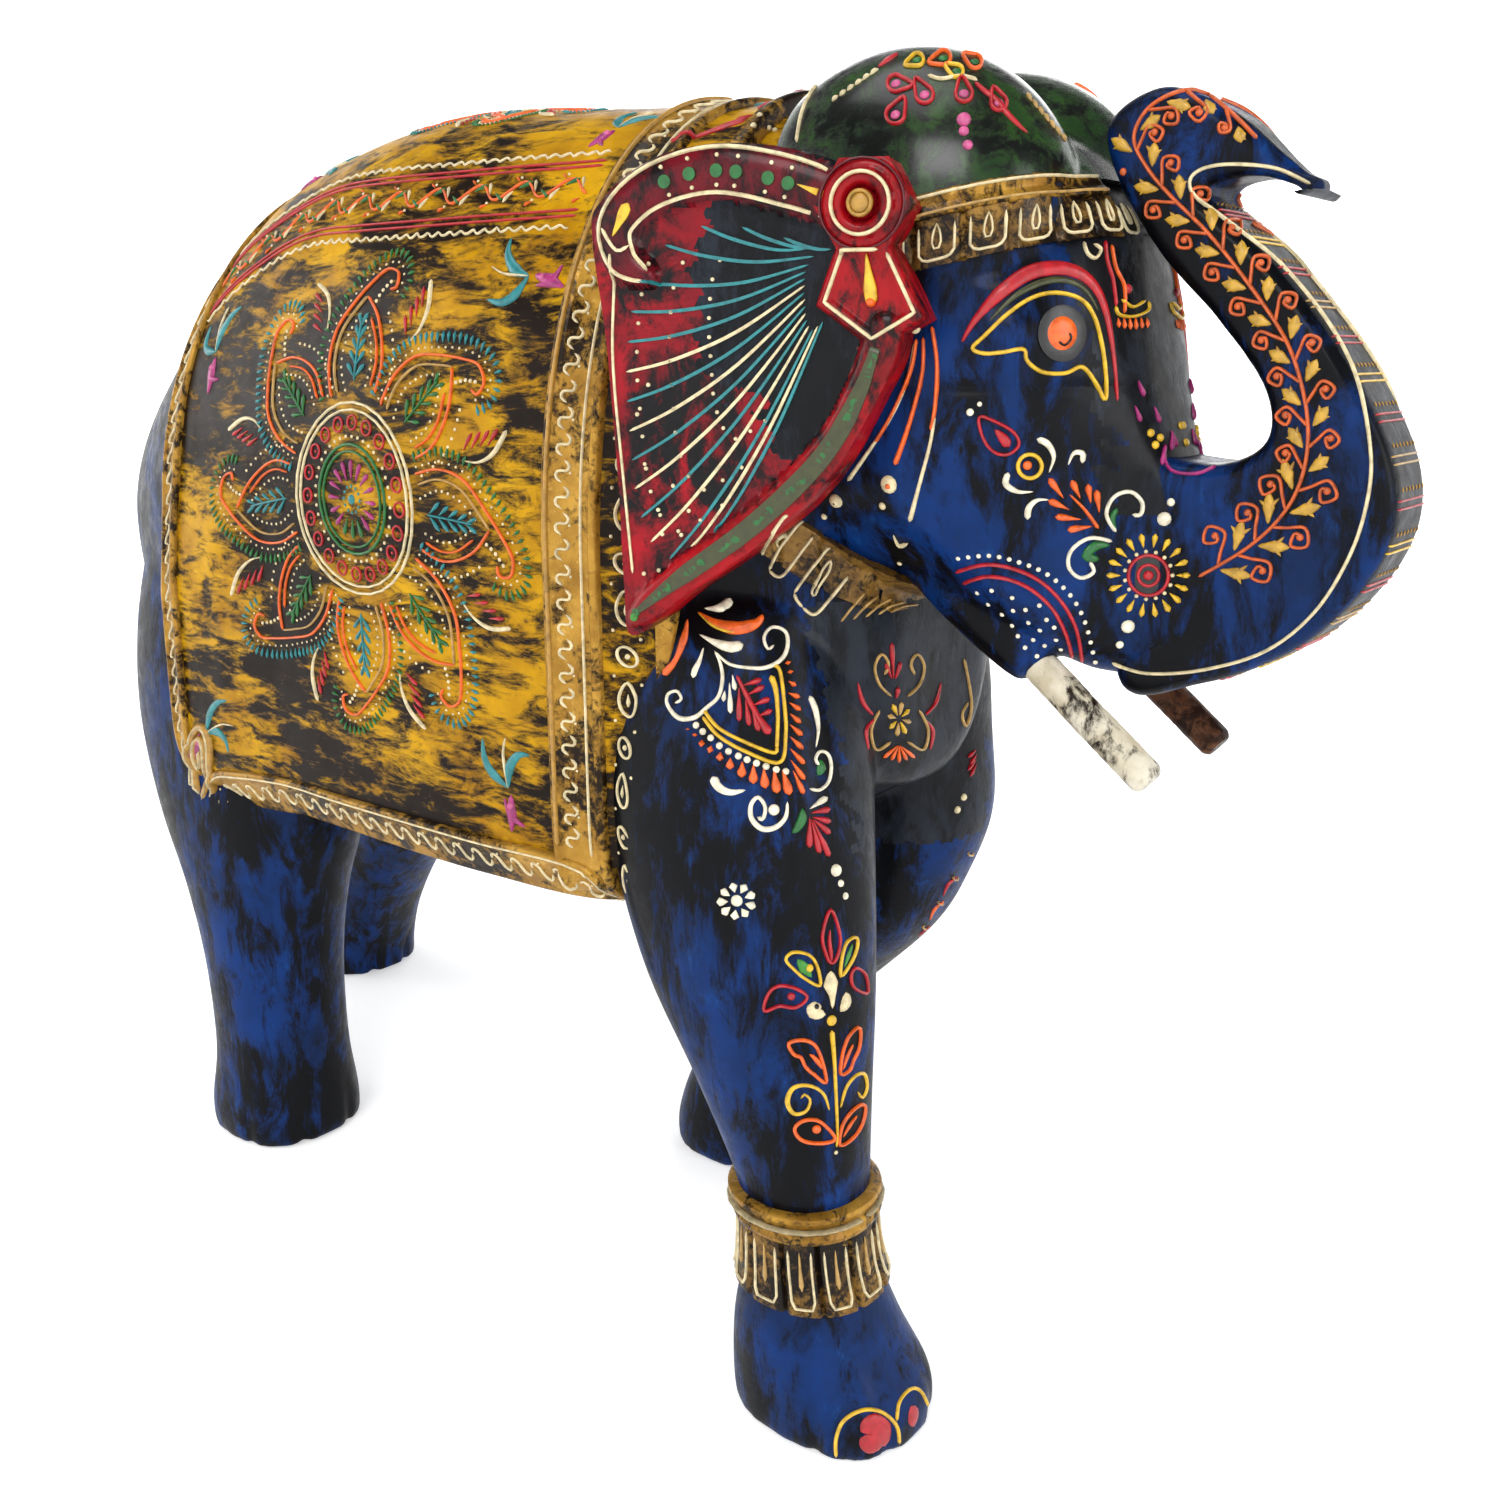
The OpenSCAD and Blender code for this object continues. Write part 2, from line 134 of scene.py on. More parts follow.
LEG = {
    "front_right": [[0, 94, -50, 29, 25, 2.4], [12, 93, -50, 29, 25, 2.4],
        [28, 88.5, -51, 24.5, 22.5, 2.2], [50, 86, -52, 18.5, 18.5, 2.1],
        [70, 84, -52, 18.5, 19, 2.1], [100, 76, -52, 26, 23, 2.1], [130, 66, -51, 35, 27, 2.2],
        [165, 57, -48, 40, 31, 2.2], [200, 47, -42, 43, 33, 2.2], [235, 42, -36, 36, 28, 2.2]],
    "front_left": [[0, -18, 48, 27, 24, 2.4], [12, -18, 48, 27, 24, 2.4],
        [30, -15, 47, 24, 22, 2.2], [50, -7, 45, 20, 19.5, 2.1], [70, 3, 44, 21, 20, 2.1],
        [90, 19, 43, 25, 23, 2.1], [112, 36, 42, 28.5, 26, 2.2], [131, 46, 42, 29, 27, 2.2],
        [155, 53, 42, 30, 28, 2.2], [182, 50, 42, 31, 29, 2.2], [210, 45, 38, 35, 30, 2.2],
        [235, 40, 34, 32, 26, 2.2]],
    "rear_right": [[0, -176, -55, 28, 26, 2.4], [12, -176, -55, 28, 26, 2.4],
        [35, -175, -55, 26, 24, 2.2], [70, -175, -55, 27, 25, 2.1], [100, -178, -53, 34, 28, 2.1],
        [130, -182, -50, 47, 32, 2.2], [165, -187, -46, 55, 35, 2.2],
        [200, -188, -42, 54, 36, 2.2], [232, -188, -38, 49, 33, 2.2]],
    "rear_left": [[0, -287, 62, 26, 26, 2.4], [12, -286, 62, 26, 26, 2.4],
        [35, -274, 60, 26, 25, 2.2], [65, -253, 57, 28, 25, 2.1], [95, -230, 54, 34, 28, 2.1],
        [125, -215, 50, 43, 32, 2.2], [160, -202, 46, 50, 35, 2.2],
        [200, -192, 42, 52, 36, 2.2], [232, -188, 38, 49, 33, 2.2]],
}
TRUNK = [[150, 220], [172, 221], [196, 234], [211, 254], [212, 274], [198.5, 298.5],
         [180.5, 319.5], [163.5, 334.5], [174, 338], [188, 333.5], [179, 342], [166, 353],
         [151, 358.5], [138.5, 352], [141, 340], [153, 322.5], [169, 306.5], [181, 291.5],
         [182.5, 280], [173, 274.5], [160, 275], [150, 276]]
TAIL = [[128, -262, 0, 3, 4, 2], [145, -263, 0, 6, 8, 2], [165, -262, 0, 5, 6, 2],
        [195, -261, 0, 4.5, 5, 2], [232, -265, 0, 4.5, 5, 2], [270, -259, 0, 4.5, 5.5, 2],
        [300, -243, 0, 4, 6, 2]]


def body_loft(grow=0.0, n=180, k=12):
    a = (np.arange(n) + .5) / n * 2 * np.pi
    return loft([barrel_pt(s, a, grow) for s in cr(BODY, k)])


def head_lofts(grow=0.0, n=140, k=12):
    a = (np.arange(n) + .5) / n * 2 * np.pi
    out = [loft([barrel_pt(s, a, grow) for s in cr(HEAD, k)])]
    for side in (-1, 1):
        rings = []
        for t in np.radians(np.linspace(-88, 88, 45)):
            c = np.cos(t)
            s = [DOME_R[0] * np.sin(t), 0, (DOME_R[1] + grow) * c, (DOME_R[2] + grow) * c,
                 (DOME_R[2] + grow) * c, 2, 2]
            rings.append(barrel_pt(s, a, 0) + np.array([DOME_AT[0], side * DOME_AT[1], DOME_AT[2]]))
        out.append(loft(rings))
    return out


def leg_loft(key, grow=0.0, n=96, k=10):
    a = (np.arange(n) + .5) / n * 2 * np.pi
    return loft([limb_pt(s, a, grow) for s in cr(LEG[key], k)])


# ------------------------------------------------------------------ mesh helpers

def mesh_from(name, v, f):
    me = bpy.data.meshes.new(name)
    me.from_pydata([tuple(p) for p in W2M(v)], [], [tuple(int(i) for i in q) for q in f])
    me.validate()
    return me


def add(name, me):
    o = bpy.data.objects.new(name, me)
    bpy.context.scene.collection.objects.link(o)
    return o


def merge(parts):
    vs, fs, off = [], [], 0
    for v, f in parts:
        vs.append(np.asarray(v, float))
        fs += [tuple(i + off for i in q) for q in f]
        off += len(v)
    return np.concatenate(vs), fs


def evaluated(o, name):
    dg = bpy.context.evaluated_depsgraph_get()
    me = bpy.data.meshes.new_from_object(o.evaluated_get(dg), preserve_all_data_layers=False,
                                         depsgraph=dg)
    me.name = name
    return me


def remesh(name, parts, voxel):
    o = add(name + "_tmp", mesh_from(name, *merge(parts)))
    m = o.modifiers.new("r", "REMESH")
    m.mode = "VOXEL"
    m.voxel_size = voxel / 1000
    me = evaluated(o, name)
    bpy.data.objects.remove(o)
    return me


def coords(me):
    co = np.empty(len(me.vertices) * 3)
    me.vertices.foreach_get("co", co)
    return co.reshape(-1, 3) * 1000 - np.array([SH, 0, 0])


def set_coords(me, co):
    me.vertices.foreach_set("co", W2M(co).ravel())
    me.update()


def relax(me, rounds, factor=.5, weight=None):
    e = np.empty(len(me.edges) * 2, int)
    me.edges.foreach_get("vertices", e)
    e = e.reshape(-1, 2)
    co = coords(me)
    n = len(co)
    deg = np.bincount(e.ravel(), minlength=n)[:, None].clip(1)
    for _ in range(rounds):
        acc = np.stack([np.bincount(e[:, 0], co[e[:, 1], i], n) + np.bincount(e[:, 1], co[e[:, 0], i], n)
                        for i in range(3)], -1)
        d = acc / deg - co
        co = co + d * (factor if weight is None else factor * weight[:, None])
    set_coords(me, co)


def normals(me):
    me.update()
    n = np.empty(len(me.vertices) * 3)
    me.vertices.foreach_get("normal", n)
    return n.reshape(-1, 3)


def box_solid(lo, hi):
    (a, b, c), (d, e, f) = lo, hi
    v = [(a, b, c), (d, b, c), (d, e, c), (a, e, c), (a, b, f), (d, b, f), (d, e, f), (a, e, f)]
    return np.array(v, float), [(3, 2, 1, 0), (4, 5, 6, 7), (0, 1, 5, 4), (1, 2, 6, 5), (2, 3, 7, 6),
                                (3, 0, 4, 7)]


def prism_y(poly, y0, y1):
    """Closed prism from an x, z outline, counter-clockwise, between two y"""
    n = len(poly)
    v = [(p[0], y0, p[1]) for p in poly] + [(p[0], y1, p[1]) for p in poly]
    f = [tuple(range(n)), tuple(range(2 * n - 1, n - 1, -1))]
    f += [((i + 1) % n, i, n + i, n + (i + 1) % n) for i in range(n)]
    return np.array(v, float), f


def boolean(me, cutter, how, name):
    """me and cutter are meshes; both closed"""
    o = add(name + "_a", me)
    c = add(name + "_b", cutter)
    m = o.modifiers.new("b", "BOOLEAN")
    m.operation = how
    m.object = c
    m.solver = "MANIFOLD"
    out = evaluated(o, name)
    bpy.data.objects.remove(o)
    bpy.data.objects.remove(c)
    return out


def shade(me, angle=40):
    me.polygons.foreach_set("use_smooth", np.ones(len(me.polygons), bool))
    bm = bmesh.new()
    bm.from_mesh(me)
    lim = math.radians(angle)
    for e in bm.edges:
        if len(e.link_faces) == 2 and e.calc_face_angle(0) > lim:
            e.smooth = False
    bm.to_mesh(me)
    bm.free()
    me.update()


def piece(name, me, mat, replaces=(), body="figure", angle=40):
    if angle:
        shade(me, angle)
    me.materials.clear()
    me.materials.append(mat)
    o = add(name, me)
    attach(o, body)
    if replaces:
        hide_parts(*replaces)
    return o

# ------------------------------------------------------------------ materials


def lin(c):
    """sRGB 0-255 to linear"""
    out = []
    for v in c:
        v = v / 255
        out.append(v / 12.92 if v <= .04045 else ((v + .055) / 1.055) ** 2.4)
    return tuple(out) + (1.0,)


class Nodes:
    def __init__(self, name):
        self.m = bpy.data.materials.new(name)
        self.m.use_nodes = True
        self.t = self.m.node_tree
        self.t.nodes.clear()
        self.out = self.t.nodes.new("ShaderNodeOutputMaterial")
        self.b = self.t.nodes.new("ShaderNodeBsdfPrincipled")
        self.t.links.new(self.b.outputs[0], self.out.inputs[0])
        self.tc = self.t.nodes.new("ShaderNodeTexCoord")

    def node(self, kind, **kw):
        n = self.t.nodes.new(kind)
        for k, v in kw.items():
            if k in n.inputs:
                n.inputs[k].default_value = v
            else:
                setattr(n, k, v)
        return n

    def link(self, a, b):
        self.t.links.new(a, b)

    def mapped(self, scale=(1, 1, 1), rot=(0, 0, 0)):
        m = self.node("ShaderNodeMapping")
        m.inputs["Scale"].default_value = scale
        m.inputs["Rotation"].default_value = rot
        self.link(self.tc.outputs["Object"], m.inputs["Vector"])
        return m.outputs[0]

    def noise(self, vec, scale, detail=6, rough=.6, distortion=0.0):
        n = self.node("ShaderNodeTexNoise")
        n.inputs["Scale"].default_value = scale
        n.inputs["Detail"].default_value = detail
        n.inputs["Roughness"].default_value = rough
        n.inputs["Distortion"].default_value = distortion
        self.link(vec, n.inputs["Vector"])
        return n.outputs[0]

    def ramp(self, fac, stops, smooth=False):
        n = self.node("ShaderNodeValToRGB")
        r = n.color_ramp
        r.interpolation = "EASE" if smooth else "LINEAR"
        while len(r.elements) < len(stops):
            r.elements.new(.5)
        for e, (p, c) in zip(r.elements, stops):
            e.position = p
            e.color = c if hasattr(c, "__len__") else (c, c, c, 1)
        self.link(fac, n.inputs[0])
        return n.outputs[0]

    def mix(self, fac, a, b, how="MIX"):
        n = self.node("ShaderNodeMix", data_type="RGBA", blend_type=how)
        for sock, v in ((n.inputs[0], fac), (n.inputs[6], a), (n.inputs[7], b)):
            if hasattr(v, "is_linked") or hasattr(v, "links"):
                self.link(v, sock)
            else:
                sock.default_value = v
        return n.outputs[2]

    def math(self, op, a, b=None, clamp=False):
        n = self.node("ShaderNodeMath", operation=op, use_clamp=clamp)
        for sock, v in ((n.inputs[0], a), (n.inputs[1], b)):
            if v is None:
                continue
            if hasattr(v, "links"):
                self.link(v, sock)
            else:
                sock.default_value = v
        return n.outputs[0]

    def bump(self, height, dist, strength=1.0, normal=None):
        n = self.node("ShaderNodeBump")
        n.inputs["Distance"].default_value = dist
        n.inputs["Strength"].default_value = strength
        self.link(height, n.inputs["Height"])
        if normal:
            self.link(normal, n.inputs["Normal"])
        return n.outputs[0]


def worn_paint(name, ground, coat_a, coat_b, cover=.5, streak=(1, 1, .25), scale=60,
               rough=(.3, .55), varnish=.25, grain=.35, soft=.07, light=None, metal=0.0):
    """Brushed paint worn through to the ground coat, under satin varnish, on carved wood"""
    n = Nodes(name)
    v = n.mapped(streak)
    o = n.mapped()
    big = n.noise(o, scale * .35, 3, .55)
    fine = n.noise(v, scale * 2.2, 8, .72, .6)
    cellv = n.noise(v, scale * 6, 6, .7, .2)
    m = n.math("ADD", n.math("MULTIPLY", big, .5), n.math("MULTIPLY", fine, .75))
    m = n.math("ADD", m, n.math("MULTIPLY", cellv, .25))
    # The sum sits near .75
    mask = n.ramp(m, [(.75 - soft + (.5 - cover) * .3, 0.0), (.75 + soft + (.5 - cover) * .3, 1.0)], True)
    tone = n.noise(o, scale * 1.1, 5, .6)
    top = n.mix(n.ramp(tone, [(.35, 0.0), (.65, 1.0)]), lin(coat_a), lin(coat_b))
    if light:
        hi = n.ramp(n.noise(v, scale * 3.4, 7, .75), [(.58, 0.0), (.72, 1.0)])
        top = n.mix(n.math("MULTIPLY", hi, .55), top, lin(light))
    base = n.mix(mask, lin(ground), top)
    n.link(base, n.b.inputs["Base Color"])
    r = n.ramp(n.noise(o, scale * 4, 4, .6), [(.3, rough[0]), (.7, rough[1])])
    n.link(r, n.b.inputs["Roughness"])
    h = n.math("ADD", n.math("MULTIPLY", mask, .5), n.math("MULTIPLY", fine, grain))
    b1 = n.bump(h, .00035, .8)
    wood = n.node("ShaderNodeTexNoise")
    wood.inputs["Scale"].default_value = 90
    wood.inputs["Detail"].default_value = 5
    n.link(n.mapped((1, 6, 6)), wood.inputs["Vector"])
    b2 = n.bump(wood.outputs[0], .0003, .35, b1)
    lump = n.noise(o, 38, 2, .5)
    b3 = n.bump(lump, .0016, .3, b2)
    n.link(b3, n.b.inputs["Normal"])
    n.b.inputs["Coat Weight"].default_value = varnish * .6
    n.b.inputs["Coat Roughness"].default_value = .2
    n.b.inputs["Specular IOR Level"].default_value = .05
    n.b.inputs["Metallic"].default_value = metal
    return n.m


def bead_paint(name, col, dark=.55, rough=.42, wear=.25):
    """Thick raised paint laid from a cone, a little dirty and rubbed"""
    n = Nodes(name)
    o = n.mapped()
    t = n.noise(o, 420, 4, .6)
    d = tuple(v * dark for v in lin(col)[:3]) + (1.0,)
    base = n.mix(n.ramp(t, [(.3, 0.0), (.62, 1.0)]), d, lin(col))
    w = n.ramp(n.noise(o, 160, 6, .75), [(.66 - wear * .2, 0.0), (.78, 1.0)])
    base = n.mix(n.math("MULTIPLY", w, .6), base, lin((30, 24, 20)))
    n.link(base, n.b.inputs["Base Color"])
    n.link(n.ramp(n.noise(o, 300, 3), [(.3, rough - .1), (.7, rough + .15)]), n.b.inputs["Roughness"])
    n.link(n.bump(n.noise(o, 700, 3), .00018, .6), n.b.inputs["Normal"])
    n.b.inputs["Coat Weight"].default_value = .3
    n.b.inputs["Coat Roughness"].default_value = .2
    n.b.inputs["Specular IOR Level"].default_value = .35
    return n.m


M = {}
M["blue"] = worn_paint("blue_paint", (4, 5, 8), (6, 43, 100), (5, 29, 66), .47, (1, 1, .35), 42,
                       light=(20, 74, 140), varnish=.18)
M["dark"] = worn_paint("dark_paint", (11, 12, 15), (32, 37, 46), (22, 26, 33), .5, (1, 1, .4), 50,
                       varnish=.25)
M["ochre"] = worn_paint("ochre_paint", (20, 11, 5), (184, 138, 5), (144, 100, 4), .42, (.45, 1, 1.6), 46,
                        light=(214, 170, 24), varnish=.15)
M["gold"] = worn_paint("gold_paint", (28, 18, 8), (176, 134, 52), (132, 94, 30), .58, (1, 1, 1), 90,
                       light=(222, 184, 100), varnish=.3, metal=.45)
M["plate"] = worn_paint("plate_paint", (20, 14, 10), (140, 104, 44), (84, 60, 28), .46, (1, 1, 1), 110,
                        light=(200, 166, 90), varnish=.4, metal=.35)
M["red"] = worn_paint("red_paint", (20, 6, 8), (150, 8, 18), (108, 6, 14), .72, (1, 1, .6), 60, varnish=.45)
M["maroon"] = worn_paint("maroon_paint", (16, 8, 10), (96, 8, 22), (66, 8, 18), .6, (1, 1, .6), 60,
                         varnish=.45)
M["ear"] = worn_paint("ear_paint", (10, 9, 12), (150, 10, 24), (96, 8, 20), .62, (1, 1, .7), 40, varnish=.4)
M["cap"] = worn_paint("cap_paint", (11, 14, 11), (36, 66, 20), (22, 40, 24), .5, (1, 1, 1), 50,
                      rough=(.18, .34), varnish=.9)
M["ivory"] = worn_paint("tusk_white", (30, 22, 16), (208, 202, 186), (172, 162, 138), .74, (1, 1, .5), 90,
                        varnish=.1)
M["brown"] = worn_paint("tusk_brown", (34, 20, 14), (96, 62, 40), (70, 44, 30), .55, (1, 1, 1), 90,
                        varnish=.1)

BEADS = dict(white=(230, 222, 196), cream=(212, 196, 154), orange=(222, 92, 18), yellow=(216, 172, 34),
             red=(168, 16, 28), green=(16, 96, 36), teal=(22, 118, 122), magenta=(150, 30, 100),
             gold=(166, 124, 46), maroon=(84, 10, 22), black=(9, 9, 12), pink=(190, 80, 130),
             olive=(50, 54, 14), lime=(48, 128, 34), sand=(176, 140, 78), rust=(190, 84, 30),
             mustard=(184, 142, 42))
for key, c in BEADS.items():
    M["bead_" + key] = bead_paint("bead_" + key, c)


def regions(o, mats, pick):
    """Gives each face a material: pick(centres, normals) returns an index per face"""
    me = o.data
    for m in mats[1:]:
        me.materials.append(m)
    n = len(me.polygons)
    c, nn = np.empty(n * 3), np.empty(n * 3)
    me.polygons.foreach_get("center", c)
    me.polygons.foreach_get("normal", nn)
    c = c.reshape(-1, 3) * 1000 - np.array([SH, 0, 0])
    ripple = np.sin(c[:, 2] * .31) + np.sin(c[:, 1] * .43 + c[:, 0] * .17) + np.sin(c[:, 2] * .9
            + c[:, 1] * .7)
    me.polygons.foreach_set("material_index", pick(c, nn.reshape(-1, 3), ripple).astype(np.int32))


# ------------------------------------------------------------------ the carved wood


def head_mesh(grow, voxel, name):
    return remesh(name, head_lofts(grow), voxel)


VOX = 1.5
TUSK_FALL = math.radians(38.4)
TDIR = np.array([math.cos(TUSK_FALL), 0, -math.sin(TUSK_FALL)])
TROOT = np.array([119, 22, 234.8])


def tusk_boss(side):
    """The wood of the jaw that a tusk's peg comes out of"""
    a = np.arange(40) / 40 * 2 * np.pi
    p = TROOT * np.array([1, side, 1])
    w_ = np.cross(TDIR, [0, 1, 0])
    rings = []
    for t, r in ((-24, 5), (-20, 9.5), (-8, 9.6), (4, 8.8), (12, 8), (17, 7.2), (20, 6.2)):
        rings.append(p + TDIR * t + np.outer(r * np.cos(a), [0, 1, 0]) + (r * np.sin(a))[:, None] * w_)
    return loft(rings[::-1])


skin = remesh("skin", [body_loft()] + head_lofts() + [leg_loft(k) for k in LEG]
              + [tusk_boss(-1), tusk_boss(1)], VOX)
relax(skin, 10, .5)

co = coords(skin)
no = normals(skin)


def blob(c, r, amount):
    """Swell (or sink) the wood round a point"""
    global co
    d = (co - np.array(c)) / np.array(r)
    w = np.exp(-(d * d).sum(-1) * 2)
    co = co + no * (amount * w)[:, None]


for s in (-1, 1):
    blob((136, s * 44, 305), (15, 14, 8), 2.2)          # eyeball
    blob((133, s * 47, 314), (18, 12, 4.5), 1.8)          # brow
    blob((128, s * 50, 292), (18, 10, 5), -1.6)         # under the eye
    blob((112, s * 50, 262), (20, 16, 18), 2.0)         # cheek
    blob((140, s * 27, 236), (14, 10, 8), 2.0)          # tusk mount
    blob((148, s * 15, 262), (12, 6, 16), -1.5)
# Toes: shallow grooves between nails
for key, (cx, cy, rx, ry) in {"front_right": (94, -50, 29, 25), "front_left": (-18, 48, 27, 24),
                              "rear_right": (-176, -55, 28, 26), "rear_left": (-287, 62, 26, 26)}.items():
    near = (np.hypot((co[:, 0] - cx) / rx, (co[:, 1] - cy) / ry) < 1.25) & (co[:, 2] < 24)
    ang = np.degrees(np.arctan2(co[:, 1] - cy, co[:, 0] - cx))
    for a in (-66, -22, 22, 66):
        w = np.exp(-((ang - a) / 5.0) ** 2) * np.clip(1 - co[:, 2] / 22, 0, 1) * near
        co = co - no * (1.1 * w)[:, None]
# Hand-carved unevenness
for k in range(26):
    c = np.array([rng.uniform(-250, 150), rng.choice([-1, 1]) * rng.uniform(30, 85), rng.uniform(20, 360)])
    blob(c, rng.uniform(18, 36, 3), rng.uniform(-.7, .7))
# The visible glue line round the head
w = np.exp(-((co[:, 2] - 292) / .9) ** 2) * (co[:, 0] > 66)
co = co - no * (.35 * w)[:, None]
# Tusk sockets stay a little wider than the pegs
co[:, 2] = np.where(co[:, 2] < .8, np.clip(co[:, 2], 0, None), co[:, 2])
set_coords(skin, co)


def tusk_cylinder(side, r, t0, t1, n=48, rows=2):
    p = TROOT * np.array([1, side, 1])
    u = np.array([0, 1, 0.0])
    w_ = np.cross(TDIR, u)
    a = np.arange(n) / n * 2 * np.pi
    rings = []
    for t in np.linspace(t0, t1, rows):
        rings.append(p + TDIR * t + r * (np.cos(a)[:, None] * u + np.sin(a)[:, None] * w_))
    return loft(rings)


for side in (-1, 1):
    v, f = tusk_cylinder(side, 5.0, -22, 90)
    cut = mesh_from("cut", v, [q[::-1] for q in f])
    skin = boolean(skin, cut, "DIFFERENCE", "skin")

BIG = 600
HEADZ = prism_y([(62, 236), (96, 236), (96, 150), (BIG, 150), (BIG, BIG), (62, BIG)], -BIG, BIG)


def region(parts_v_f, name):
    me = mesh_from(name, *parts_v_f)
    bm = bmesh.new()
    bm.from_mesh(me)
    bmesh.ops.recalc_face_normals(bm, faces=bm.faces)
    bm.to_mesh(me)
    bm.free()
    return me


def cut_out(name, solid, how="INTERSECT", src=None):
    return boolean((src or skin).copy(), region(solid, name + "_r"), how, name)


head_all = cut_out("head_all", HEADZ)
crown = cut_out("crown", box_solid((0, -BIG, 292), (BIG, BIG, BIG)), src=head_all)
face = cut_out("face", box_solid((0, -BIG, 0), (BIG, BIG, 292)), src=head_all)
torso = cut_out("torso", HEADZ, "DIFFERENCE")
torso = cut_out("torso", box_solid((-BIG, -BIG, 145), (BIG, BIG, BIG)), src=torso)
low = cut_out("low", box_solid((-BIG, -BIG, -5), (BIG, BIG, 145)))
legs = {
    "leg_front_right": box_solid((0, -BIG, -9), (BIG, 0, BIG)),
    "leg_front_left": box_solid((-90, 0, -9), (BIG, BIG, BIG)),
    "leg_rear_right": box_solid((-BIG, -BIG, -9), (0, 0, BIG)),
    "leg_rear_left": box_solid((-BIG, 0, -9), (-90, BIG, BIG)),
}
o = piece("torso", torso, M["blue"], ["torso_block"])
regions(o, [M["blue"], M["dark"], M["ochre"]], lambda c, n, r: np.where((c[:, 2] > 298) & (c[:, 0] > 44),
        2, (c[:, 0] > 60) & (np.abs(c[:, 1]) < 46 + r * 1.5) & (c[:, 2] > 150)))
for nm, me_, node_ in (("crown", crown, "crown_block"), ("face", face, "face_block")):
    o = piece(nm, me_, M["blue"], [node_])
    regions(o, [M["blue"], M["dark"], M["ochre"]], lambda c, n, r: np.where((c[:, 2] > 298) & (c[:,
            0] < 70), 2, (c[:, 0] > 118) & (np.abs(c[:, 1]) < 29 + r * .8 - np.clip(c[:, 0] - 140, 0,
            30) * .6) & (c[:, 2] > 262)))
for key, b in legs.items():
    piece(key[4:] + "_leg", cut_out(key, b, src=low), M["blue"], [key])

# Trunk: a sawn plank with chamfered edges and a pointed tip
T_OUT = cr_loop(TRUNK, 8)


def inset(poly, d):
    poly = np.asarray(poly, float)
    t = np.roll(poly, -1, 0) - np.roll(poly, 1, 0)
    t /= np.linalg.norm(t, axis=1)[:, None]
    return poly + np.stack([-t[:, 1], t[:, 0]], -1) * d


area = 0.5 * np.sum(T_OUT[:, 0] * np.roll(T_OUT[:, 1], -1) - np.roll(T_OUT[:, 0], -1) * T_OUT[:, 1])
if area < 0:
    T_OUT = T_OUT[::-1]


def orient(me):
    bm = bmesh.new()
    bm.from_mesh(me)
    bmesh.ops.recalc_face_normals(bm, faces=bm.faces)
    bm.to_mesh(me)
    bm.free()
    return me


def fill(poly, step, inner=True):
    """Triangulates an outline with points inside it"""
    poly = np.asarray(poly, float)
    lo, hi = poly.min(0), poly.max(0)
    pts = [tuple(p) for p in poly]
    n = len(pts)
    if inner:
        gx = np.arange(lo[0] + step / 2, hi[0], step)
        gy = np.arange(lo[1] + step / 2, hi[1], step)
        g = np.array([(x + (j % 2) * step / 2, y) for j, y in enumerate(gy) for x in gx])
        if len(g):
            x, y = g[:, 0][:, None], g[:, 1][:, None]
            a, b = poly, np.roll(poly, -1, 0)
            cross = (a[None, :, 1] > y) != (b[None, :, 1] > y)
            with np.errstate(divide="ignore", invalid="ignore"):
                xi = (b[None, :, 0] - a[None, :, 0]) * (y - a[None, :, 1]) / (b[None, :, 1]
                        - a[None, :, 1]) + a[None, :, 0]
            ok = (cross & (x < xi)).sum(1) % 2 == 1
            d = np.abs(g[:, None] - poly[None]).max(2).min(1) > step * .45
            pts += [tuple(p) for p in g[ok & d]]
    r = delaunay_2d_cdt([Vector(p) for p in pts], [], [list(range(n))], 1, 1e-5)
    v = np.array([tuple(p) for p in r[0]])
    return v, [tuple(q) for q in r[2]]


def slab_solid(poly, step, height, depth, place):
    """A closed piece: shaped front over the outline, straight walls down to -depth"""
    v2, f = fill(poly, step)
    front = place(v2[:, 0], v2[:, 1], height(v2))
    back = place(v2[:, 0], v2[:, 1], -depth)
    n = len(v2)
    edges = {}
    for q in f:
        for i in range(len(q)):
            e = (q[i], q[(i + 1) % len(q)])
            edges[e] = edges.get(e, 0) + 1
    walls = []
    for a, b in edges:
        if (b, a) not in edges:
            walls.append((b, a, a + n, b + n))
    faces = list(f) + [tuple(i + n for i in q[::-1]) for q in f] + walls
    return np.concatenate([front, back]), faces


def side_place(u, v, h):
    u, v, h = np.broadcast_arrays(np.asarray(u, float), np.asarray(v, float), np.asarray(h, float))
    return np.stack([u, -h, v], -1)


layers = []
for half, d in ((9.5, 0), (10.6, .45), (11.6, 1.1), (12.4, 2.0), (13.0, 3.0)):
    me = orient(mesh_from("l", *slab_solid(inset(T_OUT, d), 6, lambda p, h_=half: np.full(len(p), h_),
                                           half, side_place)))
    layers.append((coords(me), [tuple(p.vertices) for p in me.polygons]))
trunk = remesh("trunk", layers, .9)
relax(trunk, 4, .5)
tco = coords(trunk)
# The tip narrows to a point
t = np.clip((tco[:, 0] - 160) / 28, 0, 1) * (tco[:, 2] > 331 + (tco[:, 0] - 160) * .12)
tco[:, 1] *= 1 - .8 * t * t * (3 - 2 * t)
set_coords(trunk, tco)
o = piece("trunk_plank", trunk, M["blue"], ["trunk"])
regions(o, [M["blue"], M["dark"]], lambda c, n, r: (np.abs(n[:, 1]) < .35) & (c[:, 0] > 168))

